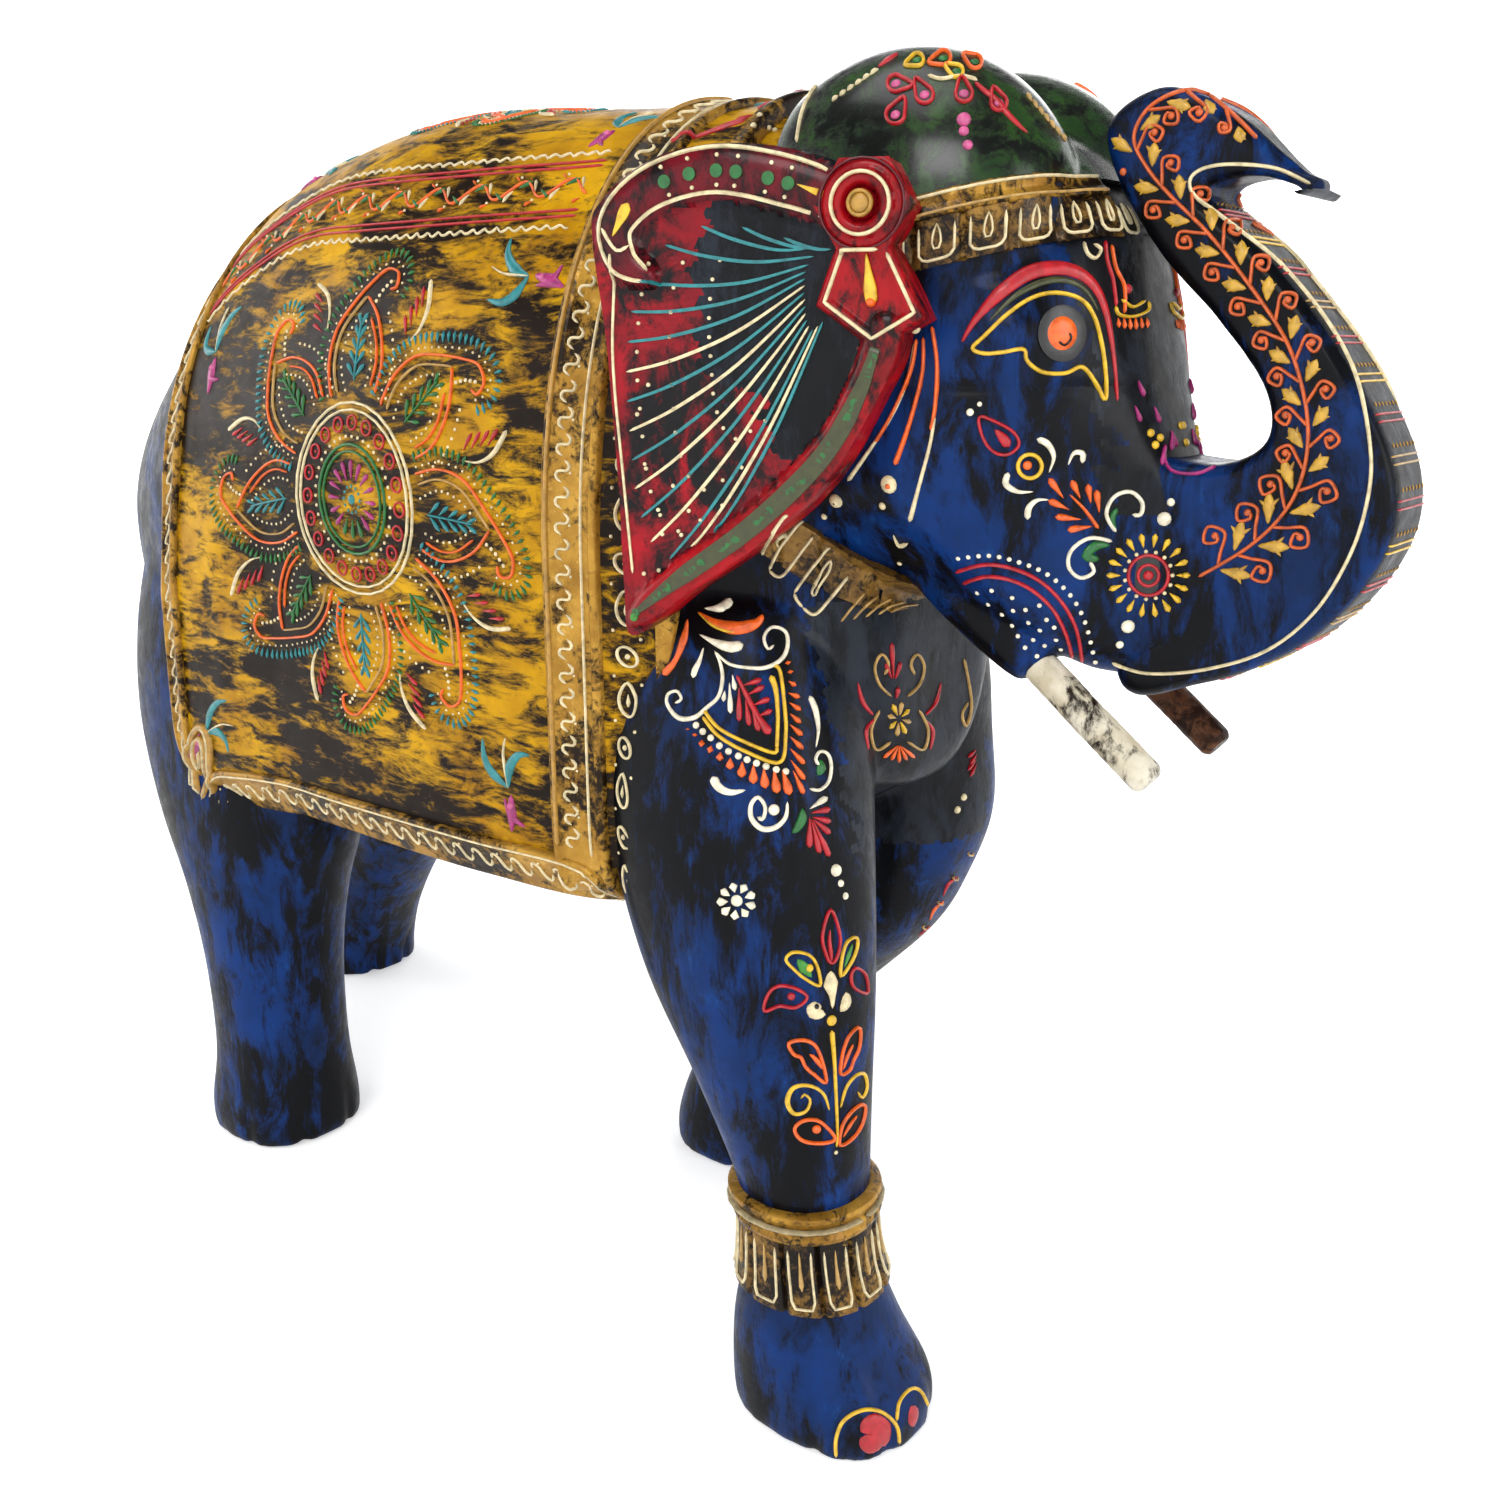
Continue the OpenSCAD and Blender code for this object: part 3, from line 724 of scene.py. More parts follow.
# Tail
a24 = (np.arange(40) + .5) / 40 * 2 * np.pi
tail = remesh("tail", [loft([limb_pt(s, a24, 0) for s in cr(TAIL, 8)])], .8)
relax(tail, 4, .5)
tc_ = coords(tail)
hair = (tc_[:, 2] < 160)
tc_ = tc_ + normals(tail) * (np.where(hair, .5 * np.sin(np.arctan2(tc_[:, 1], tc_[:, 0] + 262) * 9),
                                      0))[:, None]
set_coords(tail, tc_)
piece("tail_carved", tail, M["blue"], ["tail"])

# ------------------------------------------------------------------ camera, light, floor

PSI, PITCH = math.radians(39), math.radians(15.4)
R = Vector((math.cos(PSI), math.sin(PSI), 0))
FH = Vector((-math.sin(PSI), math.cos(PSI), 0))
F = FH * math.cos(PITCH) + Vector((0, 0, -1)) * math.sin(PITCH)
U = FH * math.sin(PITCH) + Vector((0, 0, 1)) * math.cos(PITCH)
cam = bpy.data.objects.new("camera", bpy.data.cameras.new("camera"))
bpy.context.scene.collection.objects.link(cam)
cam.matrix_world = Matrix(((R.x, U.x, -F.x, (304.7 + SH) / 1000), (R.y, U.y, -F.y, -.3496),
                           (R.z, U.z, -F.z, .300), (0, 0, 0, 1)))
cam.data.sensor_width = 36
cam.data.lens = 34.8
cam.data.clip_start = .01
bpy.context.scene.camera = cam

scene = bpy.context.scene
scene.view_settings.view_transform = "Standard"
world = bpy.data.worlds.new("world")
world.use_nodes = True
world.node_tree.nodes["Background"].inputs[0].default_value = (.95, .97, 1, 1)
world.node_tree.nodes["Background"].inputs[1].default_value = .15
scene.world = world


def area_light(name, loc, target, size, power, col=(1, 1, 1)):
    l = bpy.data.lights.new(name, "AREA")
    l.shape = "RECTANGLE"
    l.size, l.size_y = size
    l.energy = power
    l.color = col
    o = bpy.data.objects.new(name, l)
    bpy.context.scene.collection.objects.link(o)
    o.location = loc
    o.rotation_euler = (Vector(target) - Vector(loc)).to_track_quat("-Z", "Y").to_euler()
    return o


area_light("key", (.55, -1.15, 1.25), (0, 0, .2), (.7, .5), 10.5)
area_light("top", (-.1, -.2, 1.5), (0, 0, .2), (1.0, .7), 7)
area_light("left", (-1.4, -.8, .8), (-.05, 0, .2), (.5, .8), 4.6)
area_light("front", (1.4, -.1, .7), (.1, 0, .22), (.4, .8), 4.4)
area_light("back", (-.6, 1.3, .9), (0, 0, .2), (1.0, .8), 7)

# Plain pale floor with a painted glow: its emission rises with distance from the figure, so it brightens
# away from the figure; and a low white surround
fm = Nodes("floor")
fm.link(fm.mix(fm.noise(fm.mapped(), 3, 3), (.90, .90, .90, 1), (.93, .93, .93, 1)),
        fm.b.inputs["Base Color"])
fm.b.inputs["Roughness"].default_value = .8
fm.b.inputs["Specular IOR Level"].default_value = .2
# Painted glow: the floor's emission grows with distance from the figure
dist = fm.node("ShaderNodeVectorMath", operation="LENGTH")
fm.link(fm.tc.outputs["Object"], dist.inputs[0])
fm.link(fm.ramp(fm.math("MULTIPLY", dist.outputs[1], .4), [(.15, .42), (.7, .96)], True),
        fm.b.inputs["Emission Strength"])
fm.b.inputs["Emission Color"].default_value = (1, 1, 1, 1)
floor_me = bpy.data.meshes.new("floor")
floor_me.from_pydata([(-30, -30, 0), (30, -30, 0), (30, 30, 0), (-30, 30, 0)], [], [(0, 1, 2, 3)])
floor_me.materials.append(fm.m)
floor = add("floor", floor_me)
floor.location.z = -.0004

wm = Nodes("surround")
wm.link(wm.mix(wm.noise(wm.mapped(), 2, 2), (.97, .97, .97, 1), (1, 1, 1, 1)),
        wm.b.inputs["Emission Color"])
wm.b.inputs["Emission Strength"].default_value = .95
ang = np.arange(96) / 96 * 2 * np.pi
wall_me = bpy.data.meshes.new("surround")
wv = [(4.6 * math.cos(t), 4.6 * math.sin(t), z) for z in (-.01, 2.6) for t in ang]
wall_me.from_pydata(wv, [], [(i, (i + 1) % 96, 96 + (i + 1) % 96, 96 + i) for i in range(96)])
wall_me.materials.append(wm.m)
wall = add("surround", wall_me)

# ------------------------------------------------------------------ trappings


# Cap, rim, brow plates: shells over the head between slanted planes
BROW_AT, BROW_TAN = (111, 328), math.tan(math.radians(14))


def brow_slab(z0, z1, x0=66, x1=BIG):
    """Between two heights above the brow plane, which climbs towards the forehead"""
    def z(x, h):
        return BROW_AT[1] + (x - BROW_AT[0]) * BROW_TAN + h
    return prism_y([(x0, z(x0, z0)), (x1, z(x1, z0)), (x1, z(x1, z1)), (x0, z(x0, z1))], -BIG, BIG)


cap = boolean(head_mesh(2.4, 1.2, "cap"), region(brow_slab(5.5, 300), "r"), "INTERSECT", "cap")
relax(cap, 3, .4)
piece("skull_cap_carved", cap, M["cap"], ["skull_cap"])

rim = boolean(head_mesh(4.4, 1.0, "rim"), region(brow_slab(0, 6.0, 92), "r"), "INTERSECT", "rim")
rim = boolean(rim, region(prism_y([(80, 0), (BIG, 0), (BIG, BIG), (80, BIG)], -11.5, 11.5), "r"),
              "DIFFERENCE", "rim")
rim_o = add("rim_t", rim)
mm = rim_o.modifiers.new("r", "REMESH")
mm.mode, mm.voxel_size = "VOXEL", .0008
rim = evaluated(rim_o, "rim")
bpy.data.objects.remove(rim_o)
rc, rn = coords(rim), normals(rim)
hgt = rc[:, 2] - (BROW_AT[1] + (rc[:, 0] - BROW_AT[0]) * BROW_TAN)
outer = np.clip(rn[:, 0] ** 2 + rn[:, 1] ** 2, 0, 1)
rc = rc - rn * (.9 * outer * np.exp(-((hgt - 3) / .8) ** 2))[:, None]
set_coords(rim, rc)
relax(rim, 2, .5)
piece("cap_rim_carved", rim, M["gold"], ["cap_rim"])

plates = boolean(head_mesh(2.8, 1.0, "plates"), region(brow_slab(-10.5, .3, 98), "r"), "INTERSECT",
                 "plates")
plates = boolean(plates, region(prism_y([(80, 0), (BIG, 0), (BIG, BIG), (80, BIG)], -11.5, 11.5), "r"),
                 "DIFFERENCE", "plates")
pc, pn = coords(plates), normals(plates)
ang = np.degrees(np.arctan2(pc[:, 1], pc[:, 0] - 100))
PLATE_STEP = 13.0
gap = (ang + PLATE_STEP / 2) % PLATE_STEP - PLATE_STEP / 2
pc = pc - pn * (1.1 * np.exp(-(gap / 1.1) ** 2))[:, None]
set_coords(plates, pc)
piece("brow_plates_carved", plates, M["plate"], ["brow_plates"])

# Collar round the throat
C37 = math.tan(math.radians(37))


def collar_z(x):
    return 243 - (x - 96) * C37


cz = 11 / math.cos(math.radians(37))
collar_src = remesh("collar", [body_loft(3)] + head_lofts(3), 1.1)
collar = boolean(collar_src, region(prism_y([(60, collar_z(60) - cz), (116, collar_z(116) - cz),
                                             (116, collar_z(116)), (60, collar_z(60))], -BIG, BIG), "r"),
                 "INTERSECT", "collar")
cc, cn = coords(collar), normals(collar)
g = ((cc[:, 0] - 60) * 1.25) % 11 - 5.5
cc = cc - cn * (1.0 * np.exp(-(g / .7) ** 2))[:, None]
set_coords(collar, cc)
piece("collar_carved", collar, M["plate"], ["collar_plates"])

# Ears
EAR = cr_loop([[-6, 337], [8, 343.5], [27, 345.5], [45, 342.5], [57, 334], [59.5, 326],
               [56.5, 300], [54.5, 270], [53.5, 243], [51.5, 230], [38, 240], [18, 254],
               [0, 271], [-11, 289], [-16.5, 303], [-12, 320]], 6)
ET = math.radians(22.6)
EU = np.array([-math.cos(ET), -math.sin(ET), 0])
EN = np.array([math.sin(ET), -math.cos(ET), 0])
EO = np.array([100, -66, 0.0])


def in_ear(u, v, h=0.0, side=1):
    """Ear plane to carver's frame: u back from the root, v up, h outward"""
    u, v, h = np.broadcast_arrays(np.asarray(u, float), np.asarray(v, float), np.asarray(h, float))
    p = EO + u[..., None] * EU + v[..., None] * np.array([0, 0, 1.0]) + h[..., None] * EN
    return p * np.array([1, side, 1])


TOP_ROLL = cr([[-4, 331], [8, 336], [27, 339.8], [43, 336.5], [52, 329], [51, 321], [45, 317]], 8)
TOP_W = np.interp(np.linspace(0, 1, len(TOP_ROLL)), [0, .2, .6, .85, 1], [6.5, 7.2, 6, 5, 2.5])
LOW_ROLL = cr([[50, 235], [38, 244.5], [18, 259], [1, 275.5], [-8, 291], [-12.5, 305]], 8)
LOW_W = np.interp(np.linspace(0, 1, len(LOW_ROLL)), [0, .1, .5, 1], [2.5, 4.8, 5.6, 5])


def roll_height(p, line, width, top):
    d = np.linalg.norm(p[:, None] - line[None], axis=2) / width[None]
    m = d.min(1)
    return top * np.sqrt(np.clip(1 - m ** 2, 0, 1)) ** .8


def ear_height(p):
    h = np.zeros(len(p))
    rt = roll_height(p, TOP_ROLL, TOP_W, 4.6)
    rl = roll_height(p, LOW_ROLL, LOW_W, 4.4)
    bow = -1.2 * np.exp(-(((p[:, 0] - 30) / 24) ** 2 + ((p[:, 1] - 290) / 34) ** 2))
    fold = .5 * np.sin((np.degrees(np.arctan2(p[:, 1] - 322, p[:, 0] + 4))) / 6.5) * \
        np.clip(np.hypot(p[:, 0] + 4, p[:, 1] - 322) / 60, 0, 1)
    return np.maximum(np.maximum(rt, rl) - .6, bow + fold * .5)


for side, word in ((1, "right"), (-1, "left")):
    v, f = slab_solid(EAR, 1.3, ear_height, 24, lambda u, v_, h: in_ear(u, v_, h, side))
    me = orient(mesh_from("ear", v, f))
    o = piece("ear_" + word + "_carved", me, M["ear"], ["ear_" + word], angle=55)

    def ear_pick(c, n, r, sd=side):
        q = (c * np.array([1, sd, 1]) - EO)
        uv = np.stack([q @ EU, c[:, 2]], -1)
        top_ = roll_height(uv, TOP_ROLL, TOP_W * .97, 1) > .12
        low_ = roll_height(uv, LOW_ROLL, LOW_W * .97, 1) > .12
        shade_ = np.hypot(uv[:, 0] + 4, uv[:, 1] - 318) + r * 2.2 + (uv[:, 1] - 290) * .12
        return np.where(top_, 1, np.where(low_, 2, np.where(shade_ < 41, 3, 0)))
    regions(o, [M["ear"], M["maroon"], M["red"], M["dark"]], ear_pick)

    # Rosette: six-sided plate with a turned boss
    RC = (-7, 331.5)
    a6 = np.radians(np.arange(6) * 60)
    hexa = np.stack([RC[0] + 11.3 * np.cos(a6), RC[1] + 11.3 * np.sin(a6)], -1)
    hexa = np.concatenate([hexa[i] + (hexa[(i + 1) % 6] - hexa[i]) * np.linspace(0, 1, 9)[:-1,
            None] for i in range(6)])

    def ros_height(p):
        r = np.hypot(p[:, 0] - RC[0], p[:, 1] - RC[1])
        edge = np.clip((10.0 - r) / 1.6, 0, 1) ** .5
        h = 3.6 + 1.2 * edge
        h = np.where(r < 7.4, 4.8 + 1.6 * np.sqrt(np.clip(1 - ((r - 5.6) / 1.8) ** 2, 0, 1)), h)
        h = np.where(r < 3.8, 4.2 + 2.4 * np.sqrt(np.clip(1 - (r / 3.4) ** 2, 0, 1)), h)
        return h

    v, f = slab_solid(hexa, .55, ros_height, 18, lambda u, v_, h: in_ear(u, v_, h, side))
    piece("rosette_" + word + "_carved", orient(mesh_from("ros", v, f)), M["red"],
          ["rosette_" + word], angle=50)

    TP = np.array([[-1, 324], [-13, 324], [-22, 307], [-10, 300], [4, 310]], float)
    TPd = np.concatenate([TP[i] + (TP[(i + 1) % 5] - TP[i]) * np.linspace(0, 1, 12)[:-1,
            None] for i in range(5)])

    def tas_height(p):
        d = np.full(len(p), 1e9)
        for i in range(5):
            a_, b_ = TP[i], TP[(i + 1) % 5]
            t_ = np.clip(((p - a_) @ (b_ - a_)) / ((b_ - a_) @ (b_ - a_)), 0, 1)
            d = np.minimum(d, np.linalg.norm(p - a_ - t_[:, None] * (b_ - a_), axis=1))
        return 1.4 + 2.0 * np.clip(d / 1.4, 0, 1) ** .5 - .9 * np.clip((d - 2.6) / 1.2, 0, 1)

    v, f = slab_solid(TPd, .7, tas_height, 18, lambda u, v_, h: in_ear(u, v_, h, side))
    piece("tassel_" + word + "_carved", orient(mesh_from("tas", v, f)), M["red"],
          ["tassel_" + word], angle=50)

    # Tusk: turned peg with a chipped, slightly uneven face
    p0 = TROOT * np.array([1, -side, 1])
    ts = np.concatenate([np.linspace(-22, 57, 90), np.linspace(57.4, 60, 8)])
    aa = np.arange(64) / 64 * 2 * np.pi
    rings = []
    for t_ in ts:
        r_ = 4.55 - (max(0, t_ - 57.5) / 2.5) ** 2 * 1.1
        wob = .10 * np.sin(3 * aa + t_ * .21) + .07 * np.sin(7 * aa - t_ * .43) + .05 * np.sin(t_ * 1.7
                + 2 * aa)
        r_ = np.minimum(r_ + wob, 4.6) - (.12 * (np.sin(t_ * .9 + 5 * aa) > .86))
        rings.append(p0 + TDIR * t_ + (r_ * np.cos(aa))[:, None] * np.array([0, 1, 0.0])
                     + (r_ * np.sin(aa))[:, None] * np.cross(TDIR, np.array([0, 1, 0.0])))
    v, f = loft(rings)
    piece("tusk_" + word + "_peg", orient(mesh_from("tusk", v, f)), M["ivory" if side == 1 else "brown"],
          ["tusk_" + word], body="tusk_" + word, angle=50)

# Saddle cloth, laid on the body's own curve
XS = np.linspace(-200, 92, 293)
_st = cr(BODY, 40)


def station(x):
    """The body's section, squarer below because the cloth hangs straight"""
    return [np.interp(x, _st[:, 0], _st[:, i]) for i in range(6)] + [14]


# Angles from the ridge down one flank, crowded where the section turns sharply
_u = np.linspace(0, 1, 260)
ARC_A = np.concatenate([np.pi / 2 * (1 - _u[:-1]), -(_u ** 7) * (np.pi / 2 - .02)])
SEC = np.array([barrel_pt(station(x), ARC_A, 0) for x in XS])
ARC = np.concatenate([np.zeros((len(XS), 1)), np.cumsum(np.linalg.norm(np.diff(SEC, axis=1), axis=2),
        axis=1)], axis=1)


def on_body(x, s, h=0.0):
    """x along the body, s the length round it from the ridge (negative on the right flank)"""
    x, s, h = [np.atleast_1d(np.asarray(q, float)).astype(float) for q in np.broadcast_arrays(x, s, h)]
    shape = x.shape
    x, s, h = x.ravel(), s.ravel(), h.ravel()
    out = np.zeros((x.size, 3))
    # The cloth's rear edge hangs a little further back than its top
    x = x - .06 * np.abs(s) * np.clip((-100 - x) / 60, 0, 1)
    # and stands off over the thigh
    h = h + 3.2 * np.clip((-112 - x) / 30, 0, 1) * np.clip((np.abs(s) - 135) / 30, 0, 1) * (h > 0)
    g = np.clip(x - XS[0], 0, len(XS) - 1.001)
    k = g.astype(int)
    fr_ = g - k
    for kk in np.unique(k):
        m = k == kk
        sa = np.abs(s[m])
        res = []
        for j in (kk, kk + 1):
            y, z = np.interp(sa, ARC[j], SEC[j, :, 1]), np.interp(sa, ARC[j], SEC[j, :, 2])
            y2, z2 = np.interp(sa + .7, ARC[j], SEC[j, :, 1]), np.interp(sa + .7, ARC[j], SEC[j, :, 2])
            y1, z1 = np.interp(sa - .7, ARC[j], SEC[j, :, 1]), np.interp(sa - .7, ARC[j], SEC[j, :, 2])
            ty, tz = y2 - y1, z2 - z1
            L = np.hypot(ty, tz) + 1e-9
            res.append(np.stack([y - tz / L * h[m], z + ty / L * h[m]], -1))
        q = res[0] * (1 - fr_[m])[:, None] + res[1] * fr_[m][:, None]
        out[m] = np.stack([x[m], q[:, 0] * np.where(s[m] >= 0, 1, -1), q[:, 1]], -1)
    return out.reshape(shape + (3,))


def arc_at(x, z):
    """Length from the ridge down to height z, at station x"""
    k = int(np.clip(round(x - XS[0]), 0, len(XS) - 1))
    return float(np.interp(-z, -SEC[k, :, 2], ARC[k]))


def strap(us, profile, point, cap_ends=True):
    """Closed band: point(u, t, h) for each u, profile is a list of (t, h); h < 0 closes it underneath"""
    rings = [point(u, np.array([p[0] for p in profile]), np.array([p[1] for p in profile])) for u in us]
    return loft(rings)


def cloth_panel(x0, x1, z_low, h, step=2.0):
    xs = np.linspace(x0, x1, max(4, int((x1 - x0) / step)))
    ns = 300
    top, bot = [], []
    for x in xs:
        s1 = arc_at(x, z_low)
        s = np.linspace(-s1, s1, ns)
        top.append(on_body(np.full(ns, x), s, h))
        bot.append(on_body(np.full(ns, x), s, -1.0))
    n = len(xs) * ns
    v = np.concatenate([np.array(top).reshape(-1, 3), np.array(bot).reshape(-1, 3)])
    f = []
    for i in range(len(xs) - 1):
        for j in range(ns - 1):
            a = i * ns + j
            q = (a, a + 1, a + ns + 1, a + ns)
            f.append(q)
            f.append(tuple(k + n for k in q[::-1]))
    rim_ = [i * ns for i in range(len(xs))] + [(len(xs) - 1) * ns + j for j in range(1, ns)] + \
        [i * ns + ns - 1 for i in range(len(xs) - 2, -1, -1)] + [j for j in range(ns - 2, 0, -1)]
    for i in range(len(rim_)):
        a, b = rim_[i], rim_[(i + 1) % len(rim_)]
        f.append((b, a, a + n, b + n))
    return v, f


def lumpy(v, amp, seed):
    r = np.random.default_rng(seed)
    out = np.zeros(len(v))
    for _ in range(14):
        k = r.normal(0, 1, 3) * .05
        out += np.sin(v @ k + r.uniform(0, 6))
    return out * amp / 4


X0, X1, ZLOW = -168, 50, 150
v, f = merge([cloth_panel(X0 + 10, 16, ZLOW + 10, 2.5), cloth_panel(31, X1 - 3.5, ZLOW + 10, 2.5)])
field = orient(mesh_from("field", v, f))
fc, fnm = coords(field), normals(field)
fc = fc + fnm * lumpy(fc, .22, 3)[:, None]
set_coords(field, fc)
piece("saddle_field_carved", field, M["ochre"], ["saddle_field"], angle=50)

BAND = [(0, -1), (0, 3.4), (.3, 4.2), (1.0, 4.6), (2.0, 4.5), (2.7, 3.7), (3.2, 3.5)]


def band_profile(w):
    right = [(w - t, h) for t, h in BAND[::-1]]
    return BAND + right


def deep(prof):
    return [(t_, -14 if h_ < 0 else h_) for t_, h_ in prof]


def along_x(z_low, side):
    def fn(x, t, h):
        s = arc_at(x, z_low) - t
        return on_body(np.full(len(t), x), s * side, h)
    return fn


def round_body(x0, slope=0.0):
    def fn(s, t, h):
        return on_body(x0 + t + slope * abs(s), np.full(len(t), s), h)
    return fn


parts = []
for side in (-1, 1):
    parts.append(strap(np.linspace(X0, X1, 150), deep(band_profile(14)), along_x(ZLOW, side)))
sl = arc_at(X0 + 5, ZLOW + 1)
parts.append(strap(np.linspace(-sl, sl, 300), band_profile(11), round_body(X0)))
sl = arc_at(24, ZLOW + 1)
parts.append(strap(np.linspace(-sl, sl, 300), band_profile(17), round_body(15)))
sl = arc_at(48, ZLOW + 1)
parts.append(strap(np.linspace(-sl, sl, 300), [(0, -1), (0, 3.6), (.5, 4.4), (2, 4.6), (3.5, 4.4),
                                               (4, 3.6), (4, -1)], round_body(46)))
v, f = merge(parts)
piece("saddle_border_carved", orient(mesh_from("border", v, f)), M["gold"],
      ["saddle_border"], angle=50)

# Anklets
_leg = {k: cr(LEG[k], 60) for k in LEG}


def leg_station(key, z):
    t = _leg[key]
    return [z] + [float(np.interp(z, t[:, 0], t[:, i])) for i in range(1, 6)]


def on_leg(key, z, a, h=0.0):
    z, a, h = [np.atleast_1d(q) for q in np.broadcast_arrays(np.asarray(z, float), np.asarray(a, float),
            np.asarray(h, float))]
    out = np.array([limb_pt(leg_station(key, zi), np.array([ai]), hi_)[0] for zi, ai,
                    hi_ in zip(z.ravel(), a.ravel(), h.ravel())])
    return out.reshape(z.shape + (3,))


for key in ("front_right", "front_left"):
    word = key[6:]
    aa = np.arange(160) / 160 * 2 * np.pi
    prof = [(62, -.8), (62, 2.0), (62.6, 3.0), (63.8, 3.3), (65, 2.7), (66.5, 2.0), (68, 2.7),
            (69.2, 3.3), (70.4, 3.0), (71, 2.0), (71, -.8)]
    rings = [on_leg(key, np.full(160, z), aa, np.full(160, h)) for z, h in prof]
    v, f = loft(rings)
    piece("anklet_ring_" + word + "_carved", orient(mesh_from("ring", v, f)), M["gold"],
          ["anklet_ring_" + word])
    zs = np.concatenate([[41], np.linspace(41, 62, 22), [62]])
    aa = np.arange(360) / 360 * 2 * np.pi
    rings = []
    for i, z in enumerate(zs):
        if i in (0, len(zs) - 1):
            h = np.full(360, -.8)
        else:
            gd = (np.degrees(aa) % 30) - 15
            h = 2.2 - 1.5 * np.exp(-(gd / 2.0) ** 2) - .3 * (i in (1, len(zs) - 2))
        rings.append(on_leg(key, np.full(360, z), aa, h))
    v, f = loft(rings)
    piece("anklet_fringe_" + word + "_carved", orient(mesh_from("fringe", v, f)), M["plate"],
          ["anklet_fringe_" + word], angle=55)

# The dowels are inside the joints and stay as the CAD has them
for n_ in ("leg_dowels", "neck_dowels"):
    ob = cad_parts[n_]
    wood = M.get("bare") or worn_paint("bare_wood", (150, 112, 74), (186, 146, 100), (168, 128, 84), .6,
                                       (1, 1, 1), 90, varnish=0)
    M["bare"] = wood
    ob.data.materials.clear()
    ob.data.materials.append(wood)

# ------------------------------------------------------------------ raised painting
# Beads of thick paint laid from a cone. Each drawing surface turns (u, v) into a place and a
# normal on the carved wood; drawings are lists of strokes and dots in u, v.

PAINT = {}


def keep(group, colour, vf):
    PAINT.setdefault((group, colour), []).append(vf)


def tree(objs):
    vs, fs, off = [], [], 0
    for o in objs:
        c = coords(o.data)
        vs.append(c)
        fs += [tuple(i + off for i in p.vertices) for p in o.data.polygons]
        off += len(c)
    return BVHTree.FromPolygons([tuple(p) for p in np.concatenate(vs)], fs)


def named(*starts):
    return [o for o in bpy.data.objects if o.type == "MESH" and o.name.startswith(starts)]


ALL = tree(named("torso", "crown", "face", "front_", "rear_", "trunk_plank", "tail_", "ear_right_c",
                 "ear_left_c", "rosette_", "tassel_", "skull_cap_c", "cap_rim_c", "brow_plates_c",
                 "collar_c", "saddle_field_c", "saddle_border_c", "anklet_ring_", "anklet_fringe_"))
EYE = np.array([304.7, -349.6, 300.0])
fr, rr, ur = np.array(F), np.array(R), np.array(U)
PLANE_MIDDLE = 750   # the picture plane is 1500 across
PLANE_FAR = 1450     # and this far from the eye


def hit(p, d, far=900):
    r = ALL.ray_cast(Vector(tuple(p)), Vector(tuple(d)), far)
    if r[0] is None:
        return None
    n = np.array(r[1])
    if n @ np.array(d) > 0:
        n = -n
    return np.array(r[0]), n


def smooth_n(N):
    if len(N) < 5:
        return N
    k = np.ones(5) / 5
    M_ = np.stack([np.convolve(np.pad(N[:, i], 2, "edge"), k, "valid") for i in range(3)], -1)
    return M_ / np.linalg.norm(M_, axis=1)[:, None]


class View:
    """The picture plane, 1500 across, laid back onto the wood; mirror lays it on the far flank too"""
    step = 2.6
    jump = 9

    def __call__(self, uv):
        P, N = [], []
        for a, b in uv:
            d = fr + rr * (a - PLANE_MIDDLE) / PLANE_FAR - ur * (b - PLANE_MIDDLE) / PLANE_FAR
            d /= np.linalg.norm(d)
            h = hit(EYE, d)
            if h is None:
                continue
            P.append(h[0])
            N.append(h[1])
        return np.array(P), np.array(N)


class Grid:
    """Any smooth map from (u, v) to the design frame, laid down onto the wood"""
    jump = 9

    def __init__(self, fn, step=.9, reach=7, snap=True, turn=1):
        self.fn, self.step, self.reach, self.snap, self.turn = fn, step, reach, snap, turn

    def __call__(self, uv):
        uv = np.asarray(uv, float)
        P = self.fn(uv)
        e = .4
        du = self.fn(uv + [e, 0]) - self.fn(uv - [e, 0])
        dv = self.fn(uv + [0, e]) - self.fn(uv - [0, e])
        N = np.cross(du, dv)
        N *= self.turn / (np.linalg.norm(N, axis=1)[:, None] + 1e-9)
        if not self.snap:
            return P, N
        outP, outN = [], []
        for p, n in zip(P, N):
            h = hit(p + n * self.reach, -n, far=self.reach * 2)
            if h is None:
                outP.append(p)
                outN.append(n)
            else:
                outP.append(h[0])
                outN.append(h[1] if h[1] @ n > .5 else n)
        return np.array(outP), np.array(outN)


def mirrored(P, N):
    """The same stroke on the other flank, settled onto its wood"""
    m = np.array([1, -1, 1])
    P, N = P * m, N * m
    out = []
    for p, n in zip(P, N):
        h = hit(p + n * 5, -n, far=10)
        if h is None:
            return None
        out.append(h[0])
    return np.array(out), N


def resample(p, step, closed=False):
    p = np.asarray(p, float)
    if closed:
        p = np.concatenate([p, p[:1]])
    s = np.concatenate([[0], np.cumsum(np.linalg.norm(np.diff(p, axis=0), axis=1))])
    n = max(3, int(s[-1] / step) + 1)
    t = np.linspace(0, s[-1], n + (1 if closed else 0))
    q = np.stack([np.interp(t, s, p[:, i]) for i in range(p.shape[1])], -1)
    return (q[:-1] if closed else q), t[:len(q) - (1 if closed else 0)] / max(s[-1], 1e-9)


A7 = np.linspace(0, np.pi, 7)


